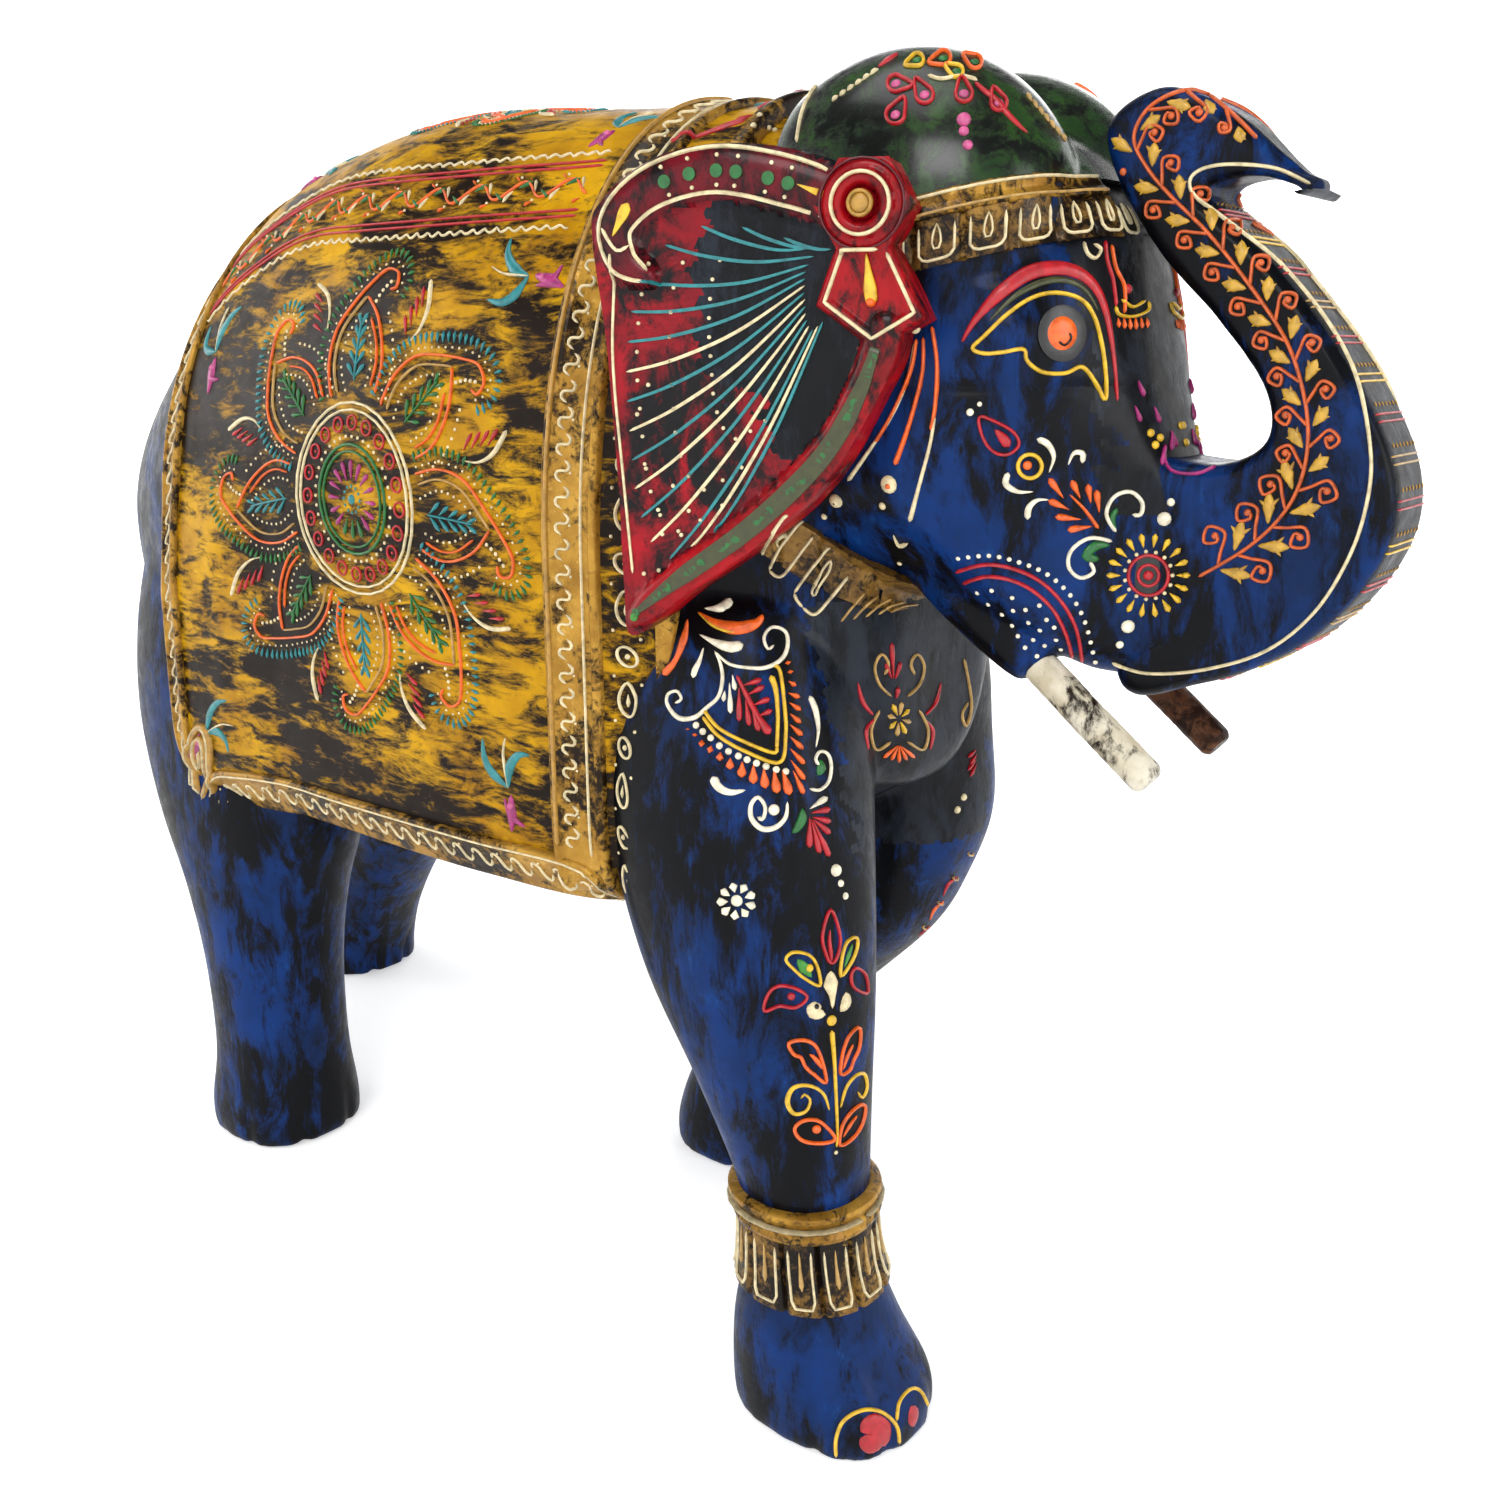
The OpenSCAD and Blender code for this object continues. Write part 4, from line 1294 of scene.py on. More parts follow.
def ribbon(P, N, w, h, closed):
    m = len(P)
    T = (np.roll(P, -1, 0) - np.roll(P, 1, 0)) if closed else np.gradient(P, axis=0)
    T /= np.linalg.norm(T, axis=1)[:, None] + 1e-9
    S = np.cross(N, T)
    S /= np.linalg.norm(S, axis=1)[:, None] + 1e-9
    N = np.cross(T, S)
    w = np.broadcast_to(w, (m,)).astype(float)
    k = np.ones(m)
    if not closed:
        s = np.concatenate([[0], np.cumsum(np.linalg.norm(np.diff(P, axis=0), axis=1))])
        d = np.minimum(s, s[-1] - s)
        k = np.sqrt(np.clip(1 - (1 - np.clip(d / (w * .5 + 1e-6), 0, 1)) ** 2, .03, 1))
    hw = (w * .5 * k)[:, None, None]
    hh = (h * np.minimum(1, .35 + .65 * w / w.max()) * (.25 + .75 * k))[:, None, None]
    ring = P[:, None] + S[:, None] * hw * np.cos(A7)[None, :, None] + N[:, None] * hh * np.sin(A7)[None,
            :, None]
    lo = P[:, None] - N[:, None] * .5
    ring = np.concatenate([ring, lo - S[:, None] * hw, lo + S[:, None] * hw], axis=1)
    if not closed:
        return loft(ring)
    q = ring.shape[1]
    f = [(j * q + i, j * q + (i + 1) % q, ((j + 1) % m) * q + (i + 1) % q, ((j + 1) % m) * q + i)
         for j in range(m) for i in range(q)]
    return ring.reshape(-1, 3), f


def dome(p, n, r, h, seg=12):
    a = np.arange(seg) / seg * 2 * np.pi
    t = np.cross(n, [0.3, .9, .2])
    t /= np.linalg.norm(t)
    b = np.cross(n, t)
    circ = np.cos(a)[:, None] * t + np.sin(a)[:, None] * b
    rings = [p + circ * r - n * .5] + [p + circ * r * math.cos(e) + n * h * math.sin(e) for e in (0, .45,
            .9, 1.35)]
    return loft(rings)


class Pen:
    """Draws on one surface; both=True repeats each stroke on the other flank"""

    def __init__(self, surf, group, both=True, place=None):
        self.s, self.g, self.both, self.place = surf, group, both, place

    def at(self, place):
        return Pen(self.s, self.g, self.both, place)

    def line(self, colour, pts, w=1.3, h=.75, closed=False, smooth=True, ends=None):
        """w in mm: a number, or a list of widths along the stroke"""
        pts = np.asarray(pts, float)
        if smooth and len(pts) > 2:
            pts = cr_loop(pts, 6) if closed else cr(pts, 6)
        if self.place is not None:
            pts = self.place(pts)
        q, t = resample(pts, self.s.step, closed)
        P, N = self.s(q)
        if len(P) < 3 or len(P) < .7 * len(q):
            return
        t = np.linspace(0, 1, len(P))
        ww = (np.interp(t, np.linspace(0, 1, len(w)), w) if hasattr(w,
                "__len__") else w) * (1 if np.max(w) > 2.4 else .74)
        if (np.linalg.norm(np.diff(P, axis=0), axis=1) > self.s.jump).any():
            return
        N = smooth_n(N)
        keep(self.g, colour, ribbon(P, N, ww, h, closed))
        if self.both:
            other = mirrored(P, N)
            if other:
                keep(self.g, colour, ribbon(*other, ww, h, closed))

    def dot(self, colour, c, r=.8, h=None, seg=12):
        pts = np.atleast_2d(np.asarray(c, float))
        if self.place is not None:
            pts = self.place(pts)
        P, N = self.s(pts)
        if not len(P):
            return
        h = h or r * .75
        for p, n in zip(P, N):
            keep(self.g, colour, dome(p, n, r, h, seg))
        if self.both:
            for i in range(len(P)):
                other = mirrored(P[i:i + 1], N[i:i + 1])
                if other:
                    keep(self.g, colour, dome(other[0][0], other[1][0], r, h, seg))

    # -- vocabulary
    def ring(self, colour, c, r, w=1.2, h=.7, ry=None):
        a = np.arange(28) / 28 * 2 * np.pi
        self.line(colour, np.stack([c[0] + r * np.cos(a), c[1] + (ry or r) * np.sin(a)], -1), w, h, True,
                  False)

    def drop(self, colour, tip, head, w=2.2, h=.8):
        """Teardrop from its thin tip to its round head"""
        tip, head = np.array(tip, float), np.array(head, float)
        self.line(colour, [tip, (tip + head) / 2, head], [.35, .5 * w, w, w * .9], h, smooth=False)

    def comma(self, colour, pts, w=2.2, h=.85):
        self.line(colour, pts, [.4, .6 * w * .5 + .3, w * .8, w, w * .85], h)

    def dots_on(self, colour, pts, gap, r=.55, closed=False):
        p = cr_loop(pts, 8) if closed else cr(np.asarray(pts, float), 8)
        q, _ = resample(p, gap, closed)
        self.dot(colour, q, r)

    def scroll(self, colour, c, r, a0, turns=1.2, w=1.1, sgn=1, tail=None):
        """Spiral that opens outwards from c, ending at the first point of tail if there is one"""
        t = np.linspace(0, 1, 22)
        a = a0 + sgn * 2 * np.pi * turns * (1 - t)
        p = np.stack([c[0] + r * (.25 + .75 * t) * np.cos(a), c[1] + r * (.25 + .75 * t) * np.sin(a)], -1)
        if tail is not None:
            p = np.concatenate([p, np.atleast_2d(tail)])
        self.line(colour, p, w, smooth=False)


def turn(c, ang, k=1.0, flip=1):
    """Local (along, across) to u, v"""
    ca, sa = math.cos(ang), math.sin(ang)

    def fn(p):
        p = np.asarray(p, float) * k
        x, y = p[:, 0], p[:, 1] * flip
        return np.stack([c[0] + ca * x - sa * y, c[1] + sa * x + ca * y], -1)
    return fn


# Quarters of the view, 1568 to a quarter's side
def Q(ix, iy, pts):
    p = np.atleast_2d(np.asarray(pts, float)) / 2.0907
    return p + np.array([750.0 * ix, 750.0 * iy])


view = View()


class QPen(Pen):
    def __init__(self, ix, iy, group, both=True):
        super().__init__(view, group, both, lambda p: Q(ix, iy, p))


# ---- Face ----
face_pen = QPen(1, 0, "face")
face_pen.dot("black", [(654, 697)], 6.4, .35, 28)
face_pen.dot("orange", [(652, 697)], 4.1, .9, 24)
face_pen.line("black", [(640, 712), (655, 722), (668, 708), (662, 694)], 1.0, 1.3)
face_pen.line("yellow", [(465, 728), (490, 702), (540, 655), (590, 622), (640, 612), (690, 625),
                         (718, 660), (735, 720), (744, 790), (742, 836), (722, 800), (694, 767),
                         (660, 780), (612, 778), (580, 755), (572, 730), (530, 736), (490, 739)], 1.3, .8,
              closed=True)
face_pen.line("red", [(443, 715), (470, 670), (520, 615), (580, 572), (640, 560), (690, 572), (725, 605),
                      (745, 655), (757, 720), (765, 790), (768, 838)], [.7, 1.8, 3.0, 3.6, 3.6, 3.2, 2.4,
        1.8, 1.3, 1.0, .7], .9)
face_pen.line("olive", [(500, 672), (550, 622), (605, 592), (655, 585), (700, 605), (728, 650)],
              [.6, 1.6, 2.2, 2.2, 1.6, .6], .5)
face_pen.line("cream", [(697, 505), (705, 530), (722, 540), (733, 522), (718, 510)], 1.0)
face_pen.line("red", [(742, 503), (746, 545), (758, 585), (765, 640)], 1.1)
face_pen.line("orange", [(755, 512), (764, 560), (782, 600), (782, 655)], 1.0)
face_pen.line("yellow", [(764, 640), (770, 657), (800, 662), (831, 650), (832, 630)], 1.0)
face_pen.line("yellow", [(776, 626), (800, 642), (826, 628)], 1.0)
face_pen.dot("red", [(790, 604)], 1.2)
for i in range(6):
    face_pen.drop("orange", (769 + 12 * i, 664), (771 + 12 * i, 690 - abs(i - 2.5) * 2), 1.5)
for x, y in ((812, 795), (845, 850), (805, 848), (880, 900), (925, 900)):
    face_pen.drop("magenta", (x, y), (x + 12, y + 34), 1.6)
for x, y in ((838, 905), (858, 915), (900, 890), (848, 930), (912, 925)):
    face_pen.dot("yellow", [(x, y)], 1.0)
face_pen.line("magenta", [(868, 930), (866, 958), (885, 985), (935, 990), (975, 975)], 1.1)
face_pen.drop("magenta", (868, 930), (862, 972), 2.2)
# strands that hang from the ear's root
face_pen.line("cream", [(345, 715), (330, 790), (290, 880), (205, 1005)], [1.1, 1.2, 1.2, 1.6])
face_pen.line("orange", [(348, 708), (336, 775), (300, 860), (262, 925)], 1.3, .9)
face_pen.line("orange", [(362, 705), (360, 780), (335, 880), (303, 972)], [1.2, 1.3, 1.5, 1.9], .9)
face_pen.line("orange", [(380, 682), (391, 760), (387, 850), (378, 900)], 1.3, .9)
face_pen.line("cream", [(386, 870), (376, 930), (355, 1010), (334, 1090)], [1.1, 1.2, 1.3, 1.8])
face_pen.dot("cream", [(347, 690)], 1.1)
face_pen.dot("cream", [(290, 1013)], 2.3, 1.1)
face_pen.dot("orange", [(292, 1015)], .9, 1.7)
face_pen.dot("cream", [(180, 1047)], 1.9)
face_pen.dot("black", [(181, 1048)], .7, 1.6)
face_pen.dot("cream", [(155, 1080)], .9)
face_pen.dot("cream", [(277, 1058)], 1.0)
face_pen.comma("cream", [(300, 1118), (312, 1140), (330, 1136)], 1.6)
face_pen.dot("cream", [(313, 1178)], .7)
# cheek sprig
face_pen.line("red", [(480, 872), (487, 915), (510, 945), (540, 950), (562, 930), (552, 905), (520, 885)],
              1.1, .8, closed=True)
face_pen.line("red", [(512, 898), (528, 915), (542, 934)], [.8, 2.2, 2.6], .7)
face_pen.dot("white", [(460, 862)], .9)
face_pen.dot("white", [(480, 845)], .6)
face_pen.comma("white", [(625, 988), (635, 955), (622, 928), (600, 918)], 2.2)
face_pen.ring("yellow", (585, 975), 25, 1.3)
face_pen.dot("orange", [(580, 973)], 1.1)
face_pen.comma("white", [(592, 1028), (560, 1028), (535, 1012), (540, 988)], 2.2)
face_pen.comma("white", [(665, 972), (676, 948), (695, 948), (694, 968)], 2.0)
face_pen.comma("white", [(625, 1045), (600, 1046), (583, 1062), (580, 1086)], 2.2)
for a, b in (((655, 1042), (625, 1000)), ((690, 1042), (672, 1004)), ((712, 1052), (706, 1012)),
             ((668, 1066), (624, 1046)), ((692, 1086), (638, 1080)), ((716, 1100), (664, 1108)),
             ((730, 1072), (724, 1024))):
    face_pen.drop("orange", a, b, 2.3, .9)
face_pen.line("orange", [(728, 1105), (700, 1066), (668, 1034)], [1.4, 1.1, .6])
face_pen.line("white", [(765, 1112), (745, 1076), (760, 1040), (795, 1028), (820, 1050), (817, 1076),
                        (800, 1076)], 1.3)
face_pen.line("green", [(766, 1108), (757, 1085), (768, 1062)], [.6, 2.4, 1.4], .8)
face_pen.line("white", [(757, 1132), (710, 1125), (672, 1150), (666, 1185), (690, 1208), (718, 1196),
                        (710, 1174)], 1.3)
face_pen.line("green", [(752, 1140), (722, 1142), (704, 1162), (730, 1170)], [.6, 2.4, 2.8, 1.2], .8)
face_pen.dot("black", [(833, 1203)], 5.2, .3, 24)
face_pen.ring("red", (833, 1203), 42, 1.2)
face_pen.ring("red", (833, 1203), 22, 1.2)
face_pen.dot("red", [(833, 1203)], 1.3, 1.2)
a = np.arange(15) / 15 * 2 * np.pi
face_pen.dot("cream", [(833 + 50 * math.cos(t), 1203 + 50 * math.sin(t)) for t in a], .5)
for i in range(18):
    t = i / 18 * 2 * math.pi
    c_, s_ = math.cos(t), math.sin(t)
    face_pen.drop("yellow", (833 + 58 * c_, 1203 + 58 * s_), (833 + 88 * c_, 1203 + 88 * s_), 2.0, .9)
# White dots above and below the cheek flower; the larger upper dot at (866, 1085) is a painted highlight
# where light catches the cheek ridge
face_pen.dot("white", [(880, 1050), (773, 1348)], 1.0)
face_pen.dot("white", [(866, 1085), (790, 1310)], 1.7)
# jaw
face_pen.line("red", [(430, 1196), (500, 1180), (580, 1200), (640, 1245), (680, 1310), (695, 1385)], 1.3)
face_pen.line("red", [(445, 1220), (500, 1205), (570, 1222), (628, 1268), (662, 1330), (678, 1392)], 1.3)
face_pen.dots_on("white", [(435, 1168), (500, 1162), (560, 1175), (620, 1200), (670, 1245), (700, 1300),
                           (722, 1385)], 21, .6)
for p in ((475, 1240), (505, 1235), (498, 1264), (527, 1285), (548, 1250), (550, 1277), (576, 1275),
          (582, 1302), (605, 1266), (620, 1296), (606, 1318), (548, 1308), (560, 1330), (592, 1338),
          (575, 1354), (636, 1312), (640, 1338), (616, 1350), (600, 1372), (650, 1358), (628, 1382),
          (655, 1378)):
    face_pen.dot("white", [p], .6)

# ---- Trunk sides ----
t1 = QPen(1, 0, "trunk")
t1.line("cream", [(757, 1386), (830, 1408), (950, 1400), (1080, 1360), (1180, 1280), (1250, 1170),
                  (1288, 1060), (1298, 950), (1270, 800), (1210, 680), (1110, 555), (1000, 465),
                  (932, 412), (920, 376), (948, 352), (1010, 343), (1100, 352), (1172, 385)], 1.1)
STEM = cr([(938, 1206), (1040, 1145), (1110, 1080), (1150, 1010), (1167, 920), (1157, 820), (1120, 710),
           (1040, 590), (960, 490), (880, 410), (830, 350), (803, 290), (828, 232), (880, 198),
           (940, 192), (1000, 232), (1060, 290)], 10)
t1.line("rust", STEM, 1.2, smooth=False)
SQ, _ = resample(STEM, 46)
for i in range(1, len(SQ) - 1):
    d = SQ[i + 1] - SQ[i - 1]
    d /= np.linalg.norm(d)
    for sg in (-1, 1):
        n = np.array([-d[1], d[0]]) * sg
        k = (1.0 if i > 6 else 1.25) * (1 if i < len(SQ) - 4 else .7)
        if (i + (sg > 0)) % 2:
            c = SQ[i] + n * 46 * k + d * 24
            r = 19 * k
            t1.line("rust", np.array([SQ[i], SQ[i] + n * 18 * k + d * 20, c - n * r * .2 + d * r, c
                                      + n * r, c - d * r, c - n * r * .55, c + d * r * .3]), 1.05)
            t1.dot("rust", [c + d * r * .1], .9)
        else:
            b = SQ[i] + n * 10
            tip = SQ[i] + n * 44 * k + d * 40 * k
            m = (b + tip) / 2
            t1.line("mustard", [b, m, tip], [.7, 1.6, 2.9, 2.2, .5], .8, smooth=False)
            t1.line("mustard", [m, m + n * 20 * k - d * 2], [2.2, .5], .7, smooth=False)
            t1.line("gold", [m, m - n * 2 * k + d * 24 * k], [2.2, .5], .7, smooth=False)

# ---- Trunk's outer face: pairs of lines across the plank ----
out_t = cr([[172, 221], [196, 234], [211, 254], [212, 274], [198.5, 298.5], [180.5, 319.5], [166, 333]], 30)


def band_fn(line, up=True):
    s = np.concatenate([[0], np.cumsum(np.linalg.norm(np.diff(line, axis=0), axis=1))])

    def fn(uv):
        x = np.interp(uv[:, 0], s, line[:, 0])
        z = np.interp(uv[:, 0], s, line[:, 1])
        return np.stack([x, -uv[:, 1], z], -1)
    return fn, s[-1]


fn_, LT = band_fn(out_t)
plank_pen = Pen(Grid(fn_, .9, 6), "trunk", both=False)
i = 0
u = 5.0
while u < LT - 3:
    c = ("red", "yellow", "red", "sand")[i % 4]
    plank_pen.line(c, [(u, -10), (u, 10)], .7, .4, smooth=False)
    plank_pen.line(c, [(u + 1.8, -10), (u + 1.8, 10)], .7, .4, smooth=False)
    for k in np.arange(-8.5, 9.5, 2.6):
        plank_pen.line("gold", [(u + 3.6, k), (u + 4.8, k)], .5, .3, smooth=False)
    u += 10.0
    i += 1

# ---- Chest, shoulder and front leg ----
leg_pen = Pen(view, "legs", True, lambda p: np.asarray(p, float) / 2.53 + [600, 560])
leg_pen.comma("white", [(264, 122), (295, 122), (320, 112), (330, 97)], 3.0)
leg_pen.line("orange", [(248, 132), (290, 158), (345, 172), (395, 160), (412, 138)],
             [.6, 2.0, 3.6, 3.4, 1.2], .9)
leg_pen.line("yellow", [(248, 132), (285, 165), (330, 182), (370, 180)], [.5, 1.2, 1.2, .5])
leg_pen.comma("white", [(252, 188), (290, 208), (330, 220), (362, 214)], 3.0)
leg_pen.comma("white", [(262, 222), (252, 255), (240, 280), (236, 298)], 2.3)
leg_pen.line("orange", [(222, 150), (212, 200), (190, 255), (160, 290)], [.6, 2.4, 1.6, 2.6], .8)
leg_pen.line("white", [(290, 230), (304, 260), (310, 300), (300, 345), (272, 372), (240, 398), (200, 400),
                       (172, 368), (172, 340), (195, 332), (206, 352), (190, 362)],
             [.6, 1.2, 1.4, 1.4, 1.4, 1.6, 1.8, 1.8, 1.4, 1.2, 1.1, 1.0])
leg_pen.line("white", [(292, 232), (325, 262), (370, 272), (420, 272), (460, 250), (475, 215), (468, 180),
                       (435, 170), (415, 195), (425, 225), (440, 215)], [.6, 1.1, 1.2, 1.4, 1.6, 1.6, 1.5,
        1.3, 1.2, 1.2, 1.0])
leg_pen.line("yellow", [(262, 378), (300, 425), (370, 462), (440, 488), (447, 470)], 1.4)
leg_pen.line("yellow", [(260, 396), (300, 445), (370, 485), (455, 512), (470, 440), (466, 360),
                        (455, 280), (436, 266)], 1.4)
leg_pen.line("yellow", [(447, 478), (450, 400), (445, 330), (432, 292)], [1.4, 1.4, 1.6, 2.4])
leg_pen.line("red", [(346, 292), (372, 345), (402, 400), (430, 440)], [.8, 1.4, 1.6, 2.6])
for a, b in (((360, 318), (410, 302)), ((372, 342), (416, 318)), ((386, 368), (430, 350)),
             ((400, 395), (436, 380)), ((352, 320), (352, 408)), ((368, 350), (378, 420)),
             ((384, 375), (402, 434))):
    leg_pen.drop("red", a, b, 2.2)
leg_pen.drop("white", (335, 290), (342, 330), 1.8)
leg_pen.drop("white", (328, 310), (330, 388), 2.0)
leg_pen.drop("white", (316, 330), (312, 358), 1.8)
leg_pen.dot("white", [(243, 418), (260, 434), (280, 450), (302, 470), (325, 484), (350, 496), (372, 505),
                      (396, 514), (420, 522), (446, 530), (470, 535)], .95)
for a, b in (((222, 425), (222, 430)), ((240, 438), (240, 446)), ((258, 455), (256, 472)),
             ((282, 470), (276, 488)), ((305, 486), (302, 508)), ((330, 500), (328, 530)),
             ((360, 510), (358, 550)), ((388, 518), (388, 566)), ((414, 526), (418, 578)),
             ((440, 530), (448, 590)), ((462, 530), (480, 594))):
    leg_pen.drop("orange", a, b, 2.5, .9)
for a, b in (((468, 262), (482, 258)), ((474, 284), (488, 282)), ((476, 306), (496, 318)),
             ((476, 336), (506, 348)), ((478, 360), (508, 380)), ((480, 388), (508, 412)),
             ((480, 416), (512, 444)), ((480, 446), (514, 478)), ((480, 476), (518, 516)),
             ((482, 505), (518, 556)), ((488, 532), (516, 592))):
    leg_pen.drop("orange", a, b, 2.1, .9)
leg_pen.comma("white", [(546, 474), (552, 430), (545, 380), (530, 344)], 2.4)
leg_pen.line("white", [(555, 520), (545, 505), (555, 485), (575, 490), (584, 520), (578, 560), (555, 582),
                       (530, 578)], 1.2)
leg_pen.line("green", [(556, 505), (560, 525), (550, 545)], [1.0, 3.0, 1.4], .8)
leg_pen.line("white", [(285, 548), (300, 575), (330, 588), (368, 582)], [2.8, 2.2, 1.6, .6])
leg_pen.line("white", [(398, 650), (412, 655), (418, 625), (400, 600), (382, 620), (384, 655), (410, 680),
                       (445, 676), (470, 650), (474, 612)], [1.6, 1.4, 1.4, 1.5, 1.8, 2.0, 2.0, 1.8, 1.5,
        .8])
leg_pen.dot("white", [(440, 632)], 1.5)
leg_pen.line("green", [(512, 628), (512, 655), (498, 680), (486, 690)], [.8, 2.6, 2.4, 1.0], .8)
for a, b in (((530, 630), (575, 600)), ((534, 640), (582, 630)), ((536, 650), (584, 662)),
             ((538, 655), (582, 692)), ((536, 655), (580, 750)), ((533, 655), (556, 742)),
             ((530, 650), (530, 728))):
    leg_pen.drop("white" if b[1] < 610 else "red", a, b, 2.4, .9)
for p, r in (((597, 785), 1.7), ((609, 818), 1.0), ((621, 850), 1.0)):
    leg_pen.dot("white", [p], r)
for i in range(9):
    t = i / 9 * 2 * math.pi + .3
    leg_pen.drop("white", (346 + 22 * math.cos(t), 863 + 22 * math.sin(t)), (346 + 50 * math.cos(t), 863
            + 47 * math.sin(t)), 2.6, .9)
leg_pen.dot("white", [(346, 862)], 1.6)
# plant on the shin
leg_pen.line("red", [(583, 885), (562, 950), (572, 1000), (585, 1020), (600, 1000), (606, 950)], 1.2, .8,
             closed=True)
leg_pen.line("red", [(584, 1018), (584, 1000), (580, 965), (582, 935)], [.8, 1.8, 1.4, .6])
leg_pen.line("yellow", [(556, 1076), (520, 1060), (490, 1035), (470, 1010), (490, 992), (530, 1000),
                        (550, 1030)], 1.2, .8, closed=True)
leg_pen.line("lime", [(535, 1055), (515, 1030), (500, 1010)], [.8, 3.2, 1.2], .6)
leg_pen.dot("yellow", [(530, 1032)], 1.1, 1.2)
leg_pen.line("yellow", [(608, 1052), (612, 1000), (625, 965), (648, 955), (648, 985), (630, 1025)], 1.2,
             .8, closed=True)
leg_pen.line("lime", [(618, 1030), (630, 995), (638, 972)], [.6, 2.0, .8], .6)
leg_pen.line("red", [(416, 1140), (425, 1100), (450, 1078), (490, 1082), (524, 1105), (495, 1132),
                     (455, 1128)], 1.3, .8, closed=True)
leg_pen.dot("red", [(484, 1104)], 1.1)
leg_pen.line("red", [(672, 1096), (640, 1080), (634, 1050), (645, 1032), (668, 1045), (676, 1075)], 1.2,
             .8, closed=True)
leg_pen.line("cream", [(584, 1040), (584, 1070), (588, 1100), (588, 1134)], [1.6, 4.6, 2.0, .6], .9)
leg_pen.line("cream", [(570, 1150), (545, 1145), (540, 1118)], [1.4, 4.2, 4.4], .9)
leg_pen.dot("black", [(546, 1128)], .8, 1.6)
leg_pen.line("cream", [(608, 1142), (622, 1120), (622, 1094)], [1.6, 4.0, 2.0], .9)
leg_pen.dot("yellow", [(586, 1165)], 1.5, .9)
leg_pen.line("yellow", [(586, 1190), (592, 1260), (596, 1340), (600, 1440), (598, 1485)],
             [2.0, 1.5, 1.3, 1.2, .7], .9)
leg_pen.dot("cream", [(597, 1499)], .6)
leg_pen.line("orange", [(478, 1222), (520, 1215), (552, 1240), (572, 1320), (540, 1300), (520, 1282),
                        (508, 1258), (490, 1250)], 1.4, .85, closed=True)
leg_pen.line("orange", [(566, 1290), (545, 1262), (530, 1250)], [.8, 2.0, 1.0])
leg_pen.line("orange", [(608, 1300), (612, 1250), (628, 1205), (655, 1182), (655, 1230), (640, 1265),
                        (630, 1290)], 1.2, .85, closed=True)
leg_pen.line("orange", [(614, 1290), (625, 1255), (640, 1225)], [.6, 1.6, .8])
leg_pen.line("yellow", [(580, 1392), (565, 1350), (530, 1330), (490, 1335), (474, 1370), (490, 1400),
                        (520, 1395), (532, 1368), (518, 1352), (508, 1362)], [.6, 1.2, 1.3, 1.4, 1.8, 2.0,
        1.6, 1.2, 1.0, .8])
leg_pen.line("yellow", [(608, 1385), (622, 1335), (645, 1305), (668, 1300), (674, 1335), (662, 1360),
                        (652, 1345)], [.6, 1.2, 1.3, 1.3, 1.5, 1.4, .8])
leg_pen.line("orange", [(594, 1462), (555, 1420), (515, 1418), (492, 1440), (512, 1468), (560, 1475)],
             1.4, .85, closed=True)
leg_pen.dot("orange", [(548, 1440)], 1.3)
leg_pen.line("orange", [(606, 1480), (612, 1430), (640, 1390), (668, 1378), (664, 1420), (640, 1460)],
             1.3, .85, closed=True)
leg_pen.line("orange", [(614, 1460), (632, 1428), (650, 1405)], [.6, 1.5, .7])
# chest flower and the leaf column beyond it
chest_pen = Pen(view, "chest", False, leg_pen.place)
for i in range(8):
    t = i / 8 * 2 * math.pi + .2
    chest_pen.drop("yellow" if i % 2 else "sand", (757 + 8 * math.cos(t), 402 + 10 * math.sin(t)),
             (757 + 30 * math.cos(t), 402 + 44 * math.sin(t)), 2.2)
for sx in (-1, 1):
    chest_pen.line("sand", [(757 + sx * 20, 345), (757 + sx * 50, 315), (757 + sx * 62, 270),
                            (757 + sx * 45, 238), (757 + sx * 28, 262), (757 + sx * 38, 290)], 1.0)
    chest_pen.line("sand", [(757 + sx * 22, 460), (757 + sx * 60, 480), (757 + sx * 72, 430),
                            (757 + sx * 50, 380)], 1.0)
    chest_pen.line("red", [(757 + sx * 105, 310), (757 + sx * 92, 360), (757 + sx * 66, 392)],
                   [.6, 2.0, 1.0])
    chest_pen.line("red", [(757 + sx * 60, 400), (757 + sx * 84, 430), (757 + sx * 78, 480)], [.6, 2.0, .8])
chest_pen.drop("red", (742, 300), (738, 210), 2.0)
chest_pen.drop("red", (738, 300), (722, 262), 1.8)
chest_pen.drop("red", (748, 300), (760, 258), 1.8)
chest_pen.drop("red", (750, 350), (755, 322), 1.8)
for k in range(5):
    chest_pen.drop("orange", (752 + 2 * k, 470), (716 + 20 * k, 512 - abs(k - 2) * 6), 1.6)
chest_pen.line("sand", [(920, 250), (935, 330), (938, 380), (925, 420), (915, 390), (930, 360)], 1.0)
chest_pen.line("sand", [(940, 430), (958, 400), (950, 365)], 1.0)
for k in range(4):
    chest_pen.drop("red", (952, 478 + 12 * k), (930 + 6 * (k % 2), 500 + 16 * k), 1.8)
chest_pen.dot("cream", [(920, 600), (904, 632)], 1.2)
for k in range(5):
    chest_pen.line("orange" if k % 2 else "red", [(905 - 34 * k, 800 + 62 * k),
                                                  (880 - 34 * k, 820 + 62 * k),
                                                  (868 - 34 * k, 850 + 62 * k)], [.6, 2.2, .7])
    chest_pen.scroll("sand", (935 - 38 * k, 740 + 62 * k), 10, 0, .8, .9)
